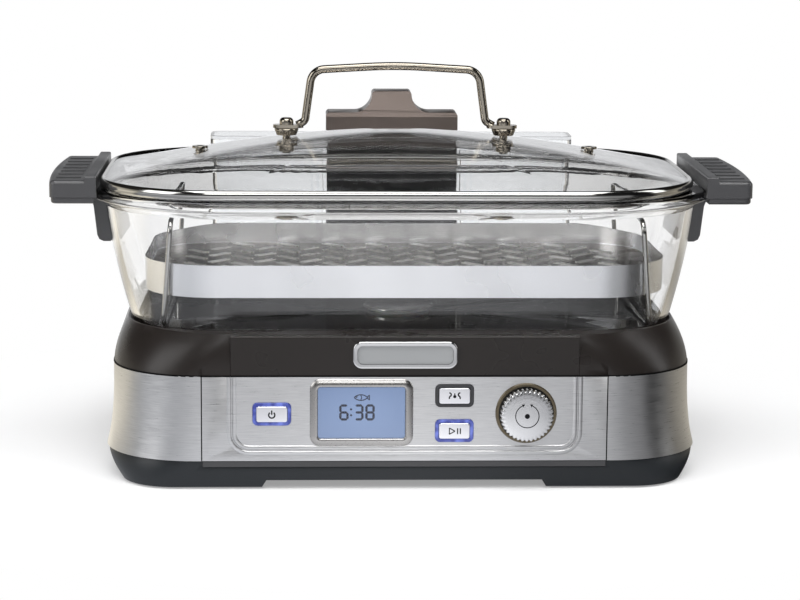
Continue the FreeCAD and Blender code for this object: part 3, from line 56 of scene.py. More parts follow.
def add(material, kind, feeds=None, **settings):
    """Adds a node with its settings; feeds are its inputs, each a value or another node's output."""
    node = material.node_tree.nodes.new("ShaderNode" + kind)
    for name, value in settings.items():
        setattr(node, name, value)
    for name, value in (feeds or {}).items():
        if isinstance(value, bpy.types.NodeSocket):
            material.node_tree.links.new(value, node.inputs[name])
        else:
            node.inputs[name].default_value = value
    return node


def surface(name, colour, roughness, metallic=0.0, **values):
    """New material and its shader, with the plain values set on the shader itself."""
    material = bpy.data.materials.new(name)
    material.use_nodes = True
    shader = material.node_tree.nodes["Principled BSDF"]
    shader.inputs["Base Color"].default_value = linear(colour)
    shader.inputs["Roughness"].default_value = roughness
    shader.inputs["Metallic"].default_value = metallic
    for name, value in values.items():
        shader.inputs[name.replace("_", " ")].default_value = value
    return material, shader


def moulded(name, colours, roughness, grain, relief, **values):
    """Injection moulding: mould grain of the given size in mm, and faintly uneven gloss and shade."""
    material, shader = surface(name, colours[0], roughness, **values)
    link = material.node_tree.links.new
    place = add(material, "TexCoord").outputs["Object"]
    cloud = add(material, "TexNoise", {"Vector": place, "Scale": 22.0, "Detail": 3.0})
    shade = add(material, "Mix", {0: cloud.outputs["Fac"], 6: linear(colours[0]), 7: linear(colours[1])},
                data_type="RGBA")
    gloss = add(material, "MapRange", {"Value": cloud.outputs["Fac"], "From Min": 0.35, "From Max": 0.65,
                                       "To Min": roughness * 0.85, "To Max": roughness * 1.15})
    grains = add(material, "TexNoise", {"Vector": place, "Scale": 1000 / grain, "Detail": 2.0})
    bump = add(material, "Bump", {"Height": grains.outputs["Fac"], "Strength": relief, "Distance": 0.0002})
    link(shade.outputs[2], shader.inputs["Base Color"])
    link(gloss.outputs["Result"], shader.inputs["Roughness"])
    link(bump.outputs["Normal"], shader.inputs["Normal"])
    return material


def dress(node, material):
    """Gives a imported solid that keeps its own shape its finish."""
    solid = nodes[node]
    solid.data.materials.clear()
    solid.data.materials.append(material)


black_rubber = moulded("moulded nitrile rubber", ("#1b1b1c", "#242425"), 0.75, 0.5, 0.35)
for node in ("rubber_feet", "valve_seal", "valve_plunger"):
    dress(node, black_rubber)

# ---- Base pan ----
# Bottom tub in charcoal ABS, injection moulded with a fine eroded texture. The skirt rolls
# under to the feet, and an open channel lets cooling air in from the front.


def copy_solid(node):
    """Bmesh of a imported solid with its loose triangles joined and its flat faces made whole."""
    mesh = bmesh.new()
    mesh.from_mesh(nodes[node].data)
    bmesh.ops.remove_doubles(mesh, verts=mesh.verts, dist=0.00001)
    bmesh.ops.dissolve_limit(mesh, angle_limit=math.radians(0.4), verts=mesh.verts, edges=mesh.edges,
                             use_dissolve_boundaries=False)
    return mesh


def finish(mesh, name, material, slot, body, replaced=(), crease=32, rounding=0.0):
    """Makes a mesh a piece: smooth up to the crease angle, edges rounded by some mm, riding its body."""
    data = bpy.data.meshes.new(name)
    mesh.to_mesh(data)
    mesh.free()
    data.shade_smooth()
    data.set_sharp_from_angle(angle=math.radians(crease))
    data.materials.append(material)
    piece = bpy.data.objects.new(name, data)
    scene.collection.objects.link(piece)
    if rounding:
        bevel = piece.modifiers.new("rounded edges", "BEVEL")
        bevel.width = rounding * MM
        bevel.segments = 2
        bevel.limit_method = "ANGLE"
        bevel.angle_limit = math.radians(crease)
        bevel.use_clamp_overlap = True
        bevel.harden_normals = True
    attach(piece, body)
    if replaced:
        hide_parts(*replaced)


def recast(node, name, material, slot, body, **shape):
    """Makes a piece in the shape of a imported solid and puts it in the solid's place."""
    finish(copy_solid(node), name, material, slot, body, replaced=(node,), **shape)


charcoal_abs = moulded("spark-textured charcoal ABS", ("#1b1e21", "#212529"), 0.42, 0.7, 0.25,
                       Specular_IOR_Level=0.4)
recast("base_pan", "base_pan_moulding", charcoal_abs, "charcoal_plastic", "base", crease=30)
recast("rear_panel", "rear_panel_moulding", charcoal_abs, "charcoal_plastic", "base", rounding=0.4)
dress("tank_socket", charcoal_abs)

# ---- Power inlet ----
# Three-pin appliance inlet of glass-filled nylon with nickel pins, snapped into the back
# from outside. It is near black, matt, and a little paler than the ABS round it.
nylon = moulded("glass-filled nylon", ("#17181a", "#1f2022"), 0.55, 0.9, 0.3)
recast("power_inlet", "power_inlet_moulding", nylon, "switch_plastic", "base", rounding=0.3)
dress("tact_switches", nylon)

# ---- Steel skin ----
# Two sheets of stainless steel, brushed lengthwise and wrapped round the ends of the base,
# from the fascia seam to the back panel. Their edges are turned in over the moulding.
BASE_HALF = 179.6
SIDE_FLARE = 4.6
BASE_HALF_DEPTH = 139.0
BASE_MIDDLE = 4.5
BASE_CORNER = 55.0
SKIRT_TOP = 17.5
STEEL_TOP = 68.5
SHEET = 1.2
FASCIA_HALF = 120.0
REAR_HALF = 108.0
SEAM = 0.3
KEPT_MARGIN = 0.1


def rounded_loop(mesh, half_x, half_y, corner, z, centre, steps, cuts):
    """Level ring of edges in mm: a flat rectangle whose corners are rounded and sides divided."""
    before = set(mesh.edges)
    square = [mesh.verts.new(((centre[0] + x * half_x) * MM, (centre[1] + y * half_y) * MM, z * MM))
              for x, y in ((1, 1), (-1, 1), (-1, -1), (1, -1))]
    mesh.faces.new(square)
    corner = min(corner, half_x * 0.98, half_y * 0.98)
    bmesh.ops.bevel(mesh, geom=square, offset=corner * MM, offset_type="OFFSET", affect="VERTICES",
                    segments=steps, profile=0.5, material=-1, clamp_overlap=False)
    sides = [edge for edge in mesh.edges if edge not in before]
    sides.sort(key=lambda edge: -edge.calc_length())
    bmesh.ops.subdivide_edges(mesh, edges=sides[:4], cuts=cuts)
    flat = [face for face in mesh.faces if all(edge not in before for edge in face.edges)
            and len(face.verts) > 4 * steps]
    ring = [edge for edge in mesh.edges if edge not in before]
    bmesh.ops.delete(mesh, geom=flat, context="FACES_ONLY")
    return ring


def grown(plan, out, z):
    """Level for a loft: a plan of half width, half depth and corner, grown by some mm, at a height."""
    return tuple(size + out for size in plan) + (z,)


def loft(levels, centre=(0.0, 0.0), steps=16, cuts=7, closed=False):
    """Wall through level rings of (half width, half depth, corner, height), in mm."""
    mesh = bmesh.new()
    rings = [rounded_loop(mesh, *level, centre, steps, cuts) for level in levels]
    pairs = list(zip(rings, rings[1:]))
    if closed:
        pairs.append((rings[-1], rings[0]))
    for lower, upper in pairs:
        bmesh.ops.bridge_loops(mesh, edges=lower + upper)
    bmesh.ops.recalc_face_normals(mesh, faces=mesh.faces)
    return mesh


def brushed(name, colours, roughness, along, across, **values):
    """Brushed metal: streaks some mm long and across mm wide, run level round the piece."""
    material, shader = surface(name, colours[0], roughness, metallic=1.0, Anisotropic=0.6, **values)
    link = material.node_tree.links.new
    across_grain = add(material, "CombineXYZ", {"Z": 1.0})
    link(across_grain.outputs["Vector"], shader.inputs["Tangent"])
    place = add(material, "TexCoord").outputs["Object"]
    drawn = add(material, "Mapping", {"Vector": place, "Scale": (1000 / along, 1000 / along, 1000 / across)})
    streaks = add(material, "TexNoise", {"Vector": drawn.outputs["Vector"], "Scale": 1.0, "Detail": 4.0,
                                         "Roughness": 0.65})
    contrast = add(material, "MapRange", {"Value": streaks.outputs["Fac"], "From Min": 0.2, "From Max": 0.8})
    shade = add(material, "Mix", {0: contrast.outputs["Result"], 6: linear(colours[0]),
                                  7: linear(colours[1])}, data_type="RGBA")
    gloss = add(material, "MapRange", {"Value": streaks.outputs["Fac"], "From Min": 0.3, "From Max": 0.7,
                                       "To Min": roughness * 0.8, "To Max": roughness * 1.25})
    bump = add(material, "Bump", {"Height": streaks.outputs["Fac"], "Strength": 0.15, "Distance": 0.0001})
    link(shade.outputs[2], shader.inputs["Base Color"])
    link(gloss.outputs["Result"], shader.inputs["Roughness"])
    link(bump.outputs["Normal"], shader.inputs["Normal"])
    return material


# Real streaks are a few hundredths of a mm wide. These are coarser, so that they still show.
brushed_stainless = brushed("brushed stainless steel", ("#bcbcbd", "#dbdbdb"), 0.33, 12.0, 0.45)
levels = []
for step in range(9):
    share = step / 8
    levels.append((BASE_HALF - SIDE_FLARE * (1 - (1 - share) ** 3), BASE_HALF_DEPTH, BASE_CORNER,
                   SKIRT_TOP + share * (STEEL_TOP - SKIRT_TOP)))
for side, name in ((-1, "left"), (1, "right")):
    mesh = loft(levels, (0, BASE_MIDDLE), steps=20, cuts=9)
    for edge_x in (FASCIA_HALF, REAR_HALF):
        bmesh.ops.bisect_plane(mesh, geom=mesh.verts[:] + mesh.edges[:] + mesh.faces[:],
                               plane_co=(side * (edge_x + SEAM) * MM, 0, 0), plane_no=(side, 0, 0))
    spare = []
    for face in mesh.faces:
        middle = face.calc_center_median() / MM
        edge_x = FASCIA_HALF if middle.y < BASE_MIDDLE else REAR_HALF
        if side * middle.x < edge_x + SEAM - KEPT_MARGIN:
            spare.append(face)
    bmesh.ops.delete(mesh, geom=spare, context="FACES")
    bmesh.ops.solidify(mesh, geom=mesh.faces[:], thickness=SHEET * MM)
    finish(mesh, name + "_steel_skin", brushed_stainless, "brushed_steel_skin", "base",
           replaced=(name + "_steel_wrap",), rounding=0.55)

# ---- Fascia ----
# Flat brushed steel control plate with an embossed line that runs down, across and up.
# It sits on a grey ABS carrier whose lower edge shows as a strip under the steel.
recast("front_fascia", "fascia_plate", brushed_stainless, "brushed_steel_skin", "base", rounding=0.4)
grey_abs = moulded("satin grey ABS", ("#38383a", "#414143"), 0.5, 0.7, 0.2)
recast("fascia_carrier", "fascia_carrier_moulding", grey_abs, "grey_plastic", "base", rounding=0.25)

# ---- Joint lines ----
# Near-black strips set in the narrow joints as painted shade, where the joints fall dark: one ring
# between the steel and the top moulding, and one strip down each end of the front plate.
SHADE_STRIP_PROUD = 0.15
SHADE_STRIP_WIDTH = 0.7
SHADE_STRIP_BELOW = 0.3
SHADE_STRIP_DEPTH = 1.0
joint_shade_black = moulded("black seal rubber", ("#050505", "#0a0a0a"), 0.7, 0.5, 0.05, Specular_IOR_Level=0.1)
shade_ring_plan = (BASE_HALF - SIDE_FLARE + SHADE_STRIP_PROUD, BASE_HALF_DEPTH, BASE_CORNER)
section = ((-SHADE_STRIP_DEPTH, -SHADE_STRIP_BELOW), (0, -SHADE_STRIP_BELOW), (0, SHADE_STRIP_WIDTH), (-SHADE_STRIP_DEPTH, SHADE_STRIP_WIDTH))
mesh = loft([grown(shade_ring_plan, out, STEEL_TOP + rise) for out, rise in section], (0, BASE_MIDDLE),
            closed=True)
finish(mesh, "steel_edge_shade_ring", joint_shade_black, "black_rubber", "base")

# Painted shade strips down each end of the front plate.
STRIP_DEPTH = 1.2
STRIP_PROUD = 0.1
STRIP_SHORT = 0.25
strip_height = STEEL_TOP - SKIRT_TOP - 2 * STRIP_SHORT
strip_y = BASE_MIDDLE - BASE_HALF_DEPTH + STRIP_DEPTH / 2 - STRIP_PROUD
mesh = bmesh.new()
for side in (-1, 1):
    strip = bmesh.ops.create_cube(mesh, size=1)["verts"]
    bmesh.ops.scale(mesh, vec=(SHADE_STRIP_WIDTH, STRIP_DEPTH, strip_height), verts=strip)
    bmesh.ops.translate(mesh, vec=(side * (FASCIA_HALF + SEAM / 2), strip_y, (STEEL_TOP + SKIRT_TOP) / 2),
                        verts=strip)
bmesh.ops.scale(mesh, vec=(MM, MM, MM), verts=mesh.verts)
finish(mesh, "plate_end_shade_strips", joint_shade_black, "black_rubber", "base")

# ---- Display ----
# Satin plated bezel round a clear acrylic lens: a raised frame that slopes in to the lens.
# Behind it a backlit liquid crystal panel shows the time in slanted figures, and a fish.
FASCIA_FRONT = -134.5
DISPLAY_X = -25.7
DISPLAY_Z = 46.8
PRINT = 0.05


def plated(name, colour, roughness, gloss, clouds):
    """Plated or polished metal whose roughness wavers in fine clouds between two values."""
    material, shader = surface(name, colour, roughness, metallic=1.0)
    place = add(material, "TexCoord").outputs["Object"]
    haze = add(material, "TexNoise", {"Vector": place, "Scale": clouds, "Detail": 2.0})
    uneven = add(material, "MapRange", {"Value": haze.outputs["Fac"], "To Min": gloss[0],
                                        "To Max": gloss[1]})
    material.node_tree.links.new(uneven.outputs["Result"], shader.inputs["Roughness"])
    return material


def upright(mesh, x, y, z):
    """Stands a mesh made lying on its back up to face the front, at a place in mm."""
    bmesh.ops.transform(mesh, matrix=Matrix.Rotation(math.pi / 2, 4, "X"), verts=mesh.verts)
    bmesh.ops.translate(mesh, verts=mesh.verts, vec=(x * MM, y * MM, z * MM))


satin_plating = plated("satin chrome plating on ABS", "#a9a7a5", 0.28, (0.22, 0.36), 900.0)
# From the back of the opening over the raised frame to the back of its outer edge.
mesh = loft([(25.8, 15.5, 1.6, -3.0), (25.8, 15.5, 1.6, 0.7), (26.1, 15.8, 1.9, 1.35),
             (26.6, 16.3, 2.4, 1.6), (27.4, 17.1, 3.2, 1.6), (28.5, 18.2, 4.3, 1.3),
             (29.5, 19.2, 5.3, 0.85), (30.3, 20.0, 6.1, 0.35), (30.75, 20.5, 6.5, -0.25),
             (29.6, 19.4, 5.4, -0.3), (29.6, 19.4, 5.4, -3.0)],
            steps=8, cuts=1, closed=True)
upright(mesh, DISPLAY_X, FASCIA_FRONT, DISPLAY_Z)
finish(mesh, "display_bezel_moulding", satin_plating, "silver_plastic", "base",
       replaced=("display_bezel",), crease=60)

# The line round the controls is pressed into the steel: a dark crease between two soft beads.
LINE_WIDTH = 0.9
LINE_PLAN = (102.0, STEEL_TOP - 24.5, 10.0)
LINE_END = 0.4
BEAD = ((0.0, -0.3), (0.05, 0.12), (0.5, 0.34), (1.1, 0.4), (1.8, 0.26), (2.4, 0.05), (2.6, -0.3))
for name, start, reach in (("outer", LINE_WIDTH, 1.0), ("inner", 0.0, -1.0)):
    mesh = loft([grown(LINE_PLAN, start + reach * out, rise) for out, rise in BEAD],
                steps=8, cuts=1, closed=True)
    upright(mesh, 0, FASCIA_FRONT, STEEL_TOP)
    bmesh.ops.bisect_plane(mesh, geom=mesh.verts[:] + mesh.edges[:] + mesh.faces[:], clear_outer=True,
                           plane_co=(0, 0, (STEEL_TOP - LINE_END) * MM), plane_no=(0, 0, 1))
    bmesh.ops.holes_fill(mesh, edges=[edge for edge in mesh.edges if edge.is_boundary])
    bmesh.ops.recalc_face_normals(mesh, faces=mesh.faces)
    finish(mesh, name + "_pressed_bead", brushed_stainless, "brushed_steel_skin", "base", crease=60)


def blend(owner, factor, first, second):
    """Shader that goes from the first to the second with the factor."""
    return add(owner, "MixShader", {0: factor, 1: first, 2: second}).outputs["Shader"]


def clear(name, colour, roughness, ior, **values):
    """See-through solid that bends light but lets lamps through to what is inside it."""
    material, shader = surface(name, colour, roughness, Transmission_Weight=1.0, IOR=ior, **values)
    lamp_light = add(material, "LightPath").outputs["Is Shadow Ray"]
    open_way = add(material, "BsdfTransparent", {"Color": linear(colour)})
    mixed = blend(material, lamp_light, shader.outputs["BSDF"], open_way.outputs["BSDF"])
    material.node_tree.links.new(mixed, material.node_tree.nodes["Material Output"].inputs["Surface"])
    return material


acrylic = clear("clear acrylic lens", "#eef3fa", 0.03, 1.49)
dress("display_window", acrylic)

# The backlight is brightest in the middle of the panel and fades toward its edges.
FADE_ACROSS = 26.0
FADE_UP = 36.0
lcd, shader = surface("backlit liquid crystal panel", "#20262f", 0.4)
place = add(lcd, "TexCoord").outputs["Object"]
spot = add(lcd, "Mapping", {"Vector": place, "Scale": (FADE_ACROSS, 0, FADE_UP),
                            "Location": (-DISPLAY_X * MM * FADE_ACROSS, 0, -DISPLAY_Z * MM * FADE_UP)})
glow = add(lcd, "TexGradient", {"Vector": spot.outputs["Vector"]}, gradient_type="SPHERICAL")
tone = add(lcd, "Mix", {0: glow.outputs["Fac"], 6: linear("#7f93b8"), 7: linear("#93a8cd")},
           data_type="RGBA")
lcd.node_tree.links.new(tone.outputs[2], shader.inputs["Emission Color"])
shader.inputs["Emission Strength"].default_value = 0.9
dress("lcd_module", lcd)

segment_ink = moulded("dark liquid crystal segment", ("#0a0f28", "#0e1530"), 0.5, 0.5, 0.05,
                      Specular_IOR_Level=0.2)


def bar(mesh, x, z, length, width, turn):
    """Pointed bar of a figure or sign, flat, turned by some degrees, its middle at a place in mm."""
    made = bmesh.ops.create_grid(mesh, x_segments=1, y_segments=1, size=0.5)["verts"]
    bmesh.ops.scale(mesh, vec=(length, width, 1), verts=made)
    before = set(mesh.verts) - set(made)
    bmesh.ops.bevel(mesh, geom=made, offset=width * 0.45, offset_type="OFFSET", affect="VERTICES",
                    segments=1, profile=0.5, material=-1)
    made = [vert for vert in mesh.verts if vert not in before]
    bmesh.ops.rotate(mesh, verts=made, matrix=Matrix.Rotation(math.radians(turn), 3, "Z"))
    bmesh.ops.translate(mesh, verts=made, vec=(x, z, 0))


# The bars lit in each figure, and where each bar lies. Two dots make the colon.
FIGURES = {"6": "afedcg", "3": "abcdg", "8": "abcdefg"}
FIGURE_HEIGHT = 8.4
FIGURE_WIDTH = 4.2
STROKE = 1.4
STROKE_GAP = 0.2
SLANT = 0.2
mesh = bmesh.new()
half = FIGURE_HEIGHT / 2
places = {
    "a": (0, half, 0), "g": (0, 0, 0), "d": (0, -half, 0),
    "b": (FIGURE_WIDTH / 2, half / 2, 90), "f": (-FIGURE_WIDTH / 2, half / 2, 90),
    "c": (FIGURE_WIDTH / 2, -half / 2, 90), "e": (-FIGURE_WIDTH / 2, -half / 2, 90),
}
for figure, middle in (("6", -10.4), ("3", -1.6), ("8", 5.0)):
    for letter in FIGURES[figure]:
        x, z, turn = places[letter]
        length = (half if turn else FIGURE_WIDTH) - STROKE_GAP
        bar(mesh, middle + x, z, length, STROKE, turn)
for z in (-1.7, 1.9):
    bar(mesh, -6.2, z, 1.5, 1.5, 0)
bmesh.ops.transform(mesh, matrix=Matrix.Shear("XY", 4, (SLANT, 0)), verts=mesh.verts)


def print_flat(mesh, name, material, slot, body, x, y, z):
    """Turns flat artwork to face the front at a place in mm, with the thickness of printing."""
    bmesh.ops.scale(mesh, vec=(MM, MM, MM), verts=mesh.verts)
    upright(mesh, x, y, z)
    bmesh.ops.recalc_face_normals(mesh, faces=mesh.faces)
    bmesh.ops.solidify(mesh, geom=mesh.faces[:], thickness=PRINT * MM)
    bmesh.ops.recalc_face_normals(mesh, faces=mesh.faces)
    finish(mesh, name, material, slot, body)


LCD_FRONT = FASCIA_FRONT + 0.98
print_flat(mesh, "time_figures", segment_ink, "lcd_glass", "base", DISPLAY_X, LCD_FRONT, DISPLAY_Z)


def band(mesh, x, z, radius, width, start, sweep, steps=24):
    """Flat curved stroke about a point: a short line spun round it, in degrees from +X."""
    angle = math.radians(start)
    ends = [mesh.verts.new((x + r * math.cos(angle), z + r * math.sin(angle), 0))
            for r in (radius - width / 2, radius + width / 2)]
    line = mesh.edges.new(ends)
    bmesh.ops.spin(mesh, geom=[line] + ends, cent=(x, z, 0), axis=(0, 0, 1), angle=math.radians(sweep),
                   steps=steps, use_merge=abs(sweep) >= 360)


# Two arcs for the fish's back and belly, an eye, a gill, and a tail of three strokes.
mesh = bmesh.new()
band(mesh, 0, -3.7, 5.4, 0.6, 43, 94)
band(mesh, 0, 3.7, 5.4, 0.6, 223, 94)
band(mesh, -2.6, 0.4, 0.4, 0.4, 0, 360, 10)
band(mesh, -1.3, 0, 1.7, 0.5, -50, 100, 10)
bar(mesh, 5.0, 0, 3.4, 0.6, 90)
for side in (-1, 1):
    bar(mesh, 4.3, side * 0.8, 2.2, 0.6, side * 42)
print_flat(mesh, "fish_outline", segment_ink, "lcd_glass", "base", DISPLAY_X - 0.4, LCD_FRONT,
           DISPLAY_Z + 9.0)

# ---- Push buttons ----
# Three silver plated ABS caps in moulded surrounds. The power and start surrounds are
# translucent and glow blue from behind; the steam surround is dark. The signs are printed.
BUTTON_FRONT = FASCIA_FRONT - 1.5
BUTTONS = {"power": (-78.7, 46.0), "steam": (29.3, 57.0), "start": (29.3, 35.8)}

lit_ring, shader = surface("translucent blue polycarbonate", "#1d2a70", 0.1, Coat_Weight=1.0,
                           Coat_Roughness=0.05)
# The surround glows blue from its backlight, and the brighter blotches in that glow are painted highlights.
place = add(lit_ring, "TexCoord").outputs["Object"]
highlight_patch = add(lit_ring, "TexNoise", {"Vector": place, "Scale": 170.0, "Detail": 1.0})
painted_highlight_spots = add(lit_ring, "MapRange", {"Value": highlight_patch.outputs["Fac"], "From Min": 0.42, "From Max": 0.66})
light = add(lit_ring, "Mix", {0: painted_highlight_spots.outputs["Result"], 6: linear("#1b2a80"), 7: linear("#7f92ee")},
            data_type="RGBA")
lit_ring.node_tree.links.new(light.outputs[2], shader.inputs["Emission Color"])
shader.inputs["Emission Strength"].default_value = 0.6
recast("lit_button_rings", "lit_surrounds", lit_ring, "blue_ring_plastic", "base", rounding=0.25)
dark_ring = moulded("satin dark grey ABS", ("#2a2a2d", "#343437"), 0.35, 0.5, 0.15)
recast("steam_button_ring", "dark_surround", dark_ring, "dark_ring_plastic", "base", rounding=0.25)

sign_ink = moulded("black pad-printing ink", ("#08090c", "#0e1014"), 0.6, 0.4, 0.05,
                   Specular_IOR_Level=0.15)
cap_plating = plated("satin white plating on ABS", "#eeeef1", 0.3, (0.24, 0.38), 700.0)
for name, (x, z) in BUTTONS.items():
    recast(name + "_button", name + "_cap", cap_plating, "silver_plastic", name + "_key", crease=25)
    mesh = bmesh.new()
    if name == "power":
        band(mesh, 0, -0.3, 1.8, 0.85, 128, 284)
        bar(mesh, 0, 1.2, 2.9, 0.85, 90)
    elif name == "steam":
        for side in (-1, 1):
            band(mesh, side * 3.1, 0.9, 1.0, 0.8, 90 - side * 10, side * 150, 10)
            band(mesh, side * 1.7, -1.2, 1.5, 0.8, 90 - side * 110, side * 100, 10)
        drop = bmesh.ops.create_circle(mesh, cap_ends=True, segments=20, radius=0.95)["verts"]
        bmesh.ops.translate(mesh, verts=drop, vec=(0, -0.3, 0))
        bar(mesh, 0, 0.9, 1.8, 0.7, 90)
    else:
        for turn, x_bar, z_bar in ((90, -3.0, 0), (-30, -1.35, 0.95), (30, -1.35, -0.95)):
            bar(mesh, x_bar, z_bar, 4.1, 0.6, turn)
        for x_bar in (1.9, 3.5):
            bar(mesh, x_bar, 0, 3.8, 0.7, 90)
    print_flat(mesh, name + "_sign", sign_ink, "dark_ring_plastic", name + "_key", x,
               BUTTON_FRONT - PRINT, z)

# ---- Dial ----
# Aluminium knob turned from bar: milled flutes round it, a slightly domed face with
# concentric turning marks, and a printed ring with two arrow heads.
KNOB_X = 71.8
KNOB_Z = 46.3
KNOB_RADIUS = 15.75
KNOB_BACK = FASCIA_FRONT - 1.0
KNOB_FRONT = KNOB_BACK - 8.0
FLUTES = 36
FLUTE = (0, 0.12, 0.75, 1.0, 0.75, 0.12)
RINGS_PER_METRE = 2400.0


def combine(owner, operation, *values):
    """Output of a sum or comparison of plain values and outputs."""
    return add(owner, "Math", dict(enumerate(values)), operation=operation).outputs["Value"]


turned_metal, shader = surface("turned satin aluminium", "#d6d6d7", 0.24, metallic=1.0)
place = add(turned_metal, "TexCoord").outputs["Object"]
centred = add(turned_metal, "Mapping", {"Vector": place, "Location": (-KNOB_X * MM, 0, -KNOB_Z * MM)})
flat = add(turned_metal, "VectorMath", {0: centred.outputs["Vector"], 1: (1, 0, 1)}, operation="MULTIPLY")
distance = add(turned_metal, "VectorMath", {0: flat.outputs["Vector"]}, operation="LENGTH")
ring_number = combine(turned_metal, "MULTIPLY", distance.outputs["Value"], RINGS_PER_METRE)
marks = add(turned_metal, "TexNoise", {"W": ring_number, "Scale": 1.0, "Detail": 2.0},
            noise_dimensions="1D")
bump = add(turned_metal, "Bump", {"Height": marks.outputs["Fac"], "Strength": 0.35, "Distance": 0.0001})
turned_metal.node_tree.links.new(bump.outputs["Normal"], shader.inputs["Normal"])

mesh = bmesh.new()
rings = []
for y, radius, fluting in ((KNOB_BACK, KNOB_RADIUS, 1.0), (KNOB_FRONT + 1.7, KNOB_RADIUS, 1.0),
                           (KNOB_FRONT + 1.0, KNOB_RADIUS - 0.45, 0.9),
                           (KNOB_FRONT + 0.8, KNOB_RADIUS - 1.6, 0.0),
                           (KNOB_FRONT + 0.55, 12.4, 0.0), (KNOB_FRONT + 0.32, 9.6, 0.0),
                           (KNOB_FRONT + 0.15, 6.6, 0.0), (KNOB_FRONT + 0.03, 2.8, 0.0)):
    ring = bmesh.ops.create_circle(mesh, segments=FLUTES * len(FLUTE), radius=radius)["verts"]
    for number, vert in enumerate(ring):
        depth = FLUTE[number % len(FLUTE)] * fluting
        vert.co *= (radius - depth) / radius
    bmesh.ops.rotate(mesh, verts=ring, matrix=Matrix.Rotation(math.pi / 2, 3, "X"))
    bmesh.ops.translate(mesh, verts=ring, vec=(KNOB_X, y, KNOB_Z))
    rings.append(ring)
for near, far in zip(rings, rings[1:]):
    loops = [edge for edge in mesh.edges if set(edge.verts) <= set(near) or set(edge.verts) <= set(far)]
    bmesh.ops.bridge_loops(mesh, edges=loops)
bmesh.ops.contextual_create(mesh, geom=rings[-1])
bmesh.ops.contextual_create(mesh, geom=rings[0])
bmesh.ops.scale(mesh, vec=(MM, MM, MM), verts=mesh.verts)
bmesh.ops.recalc_face_normals(mesh, faces=mesh.faces)
finish(mesh, "dial_knob", turned_metal, "knob_plating", "dial", replaced=("knob_cap",), crease=40)

# A ring open at the top, with an arrow head on each end, and a ringed dot in the middle.
ARROW_RADIUS = 7.0
ARROW_ANGLE = math.radians(20)
mesh = bmesh.new()
band(mesh, 0, 0, 6.9, 0.5, 112, 316, 60)
for side in (-1, 1):
    head = bmesh.ops.create_circle(mesh, cap_ends=True, segments=3, radius=1.1)["verts"]
    bmesh.ops.rotate(mesh, verts=head, matrix=Matrix.Rotation(side * math.radians(-62), 3, "Z"))
    bmesh.ops.translate(mesh, verts=head, vec=(side * ARROW_RADIUS * math.sin(ARROW_ANGLE),
                                               ARROW_RADIUS * math.cos(ARROW_ANGLE), 0))
bmesh.ops.create_circle(mesh, cap_ends=True, segments=24, radius=1.5)
band(mesh, 0, 0, 2.5, 0.35, 0, 360, 40)
print_flat(mesh, "dial_print", sign_ink, "dark_ring_plastic", "dial", KNOB_X, KNOB_FRONT + 0.05, KNOB_Z)

dial_ring = moulded("bronze-tinted ABS", ("#5a5141", "#6b614e"), 0.22, 0.5, 0.1, metallic=0.6)
recast("knob_ring", "dial_ring", dial_ring, "bronze_plastic", "base")

# ---- Deck ----
# Top moulding of the base in glossy bronze-black ABS: a leaning shoulder above the steel,
# a sunk seat for the pot, a seat for the tank, and a separate flat strip across the front.
deck_abs = moulded("polished bronze-black ABS", ("#1c1917", "#25201e"), 0.3, 1.2, 0.05,
                   Specular_IOR_Level=0.35)
recast("deck_trim", "deck_moulding", deck_abs, "bronze_plastic", "base", crease=34)
recast("front_trim", "front_strip", deck_abs, "bronze_plastic", "base", rounding=0.3)

# ---- Badge ----
# Polished zinc frame round a plain plate of grey lacquered ABS. A tongue on the back of the
# plate goes through the front strip and holds both.
polished_zinc = plated("polished zinc casting", "#cfcfd0", 0.12, (0.07, 0.17), 400.0)
recast("badge_bezel", "badge_frame", polished_zinc, "polished_steel", "base")
badge_plate = moulded("satin grey lacquer on ABS", ("#8b8d8e", "#96989a"), 0.3, 0.4, 0.08)
recast("badge_inset", "badge_plate", badge_plate, "badge_grey", "base", rounding=0.2)

# ---- Steam generator and works ----
# Cast aluminium steam dish with its sheathed heater, thermostat, silicone hoses and pump,
# and the circuit boards. They are closed in by the base and seen only with it opened.
cast_aluminium = moulded("cast aluminium", ("#a9abad", "#b6b8ba"), 0.5, 1.5, 0.5, metallic=1.0)
dress("boiler_body", cast_aluminium)
heater_sheath = moulded("oxidised steel sheath", ("#6d6963", "#7c776f"), 0.45, 1.0, 0.3, metallic=1.0)
dress("heating_element", heater_sheath)
phenolic = moulded("moulded white phenolic", ("#cfc9ba", "#d8d3c5"), 0.45, 0.8, 0.2)
dress("thermostat", phenolic)
silicone = moulded("translucent white silicone", ("#cfcfca", "#dadad6"), 0.5, 1.0, 0.15,
                   Subsurface_Weight=0.2, Subsurface_Scale=0.003)
for node in ("steam_spout", "feed_hose", "boiler_hose", "pot_seal"):
    dress(node, silicone)
coil_moulding = moulded("black coil moulding", ("#232327", "#2b2b30"), 0.5, 0.8, 0.2)
dress("water_pump", coil_moulding)
solder_mask = moulded("green solder mask", ("#1d5a34", "#226640"), 0.35, 1.5, 0.2)
for node in ("control_board", "power_board"):
    dress(node, solder_mask)
plated_steel = moulded("zinc plated steel", ("#a6a7a8", "#b8b9ba"), 0.3, 0.6, 0.15, metallic=1.0)
for node in ("encoder_body", "encoder_rotor", "encoder_shaft", "base_screws", "handle_screws"):
    dress(node, plated_steel)

# ---- Water tank ----
# Tub and cover of clear styrene-acrylonitrile, moulded and welded, with a black spine in
# its front channel and a bronze-coloured grip that closes the filler.
clear_san = clear("clear moulded SAN", "#fdfeff", 0.02, 1.3, Specular_IOR_Level=0.2)
for node in ("tank_body", "tank_cover"):
    recast(node, node + "_moulding", clear_san, "clear_plastic", "tank", rounding=0.4)

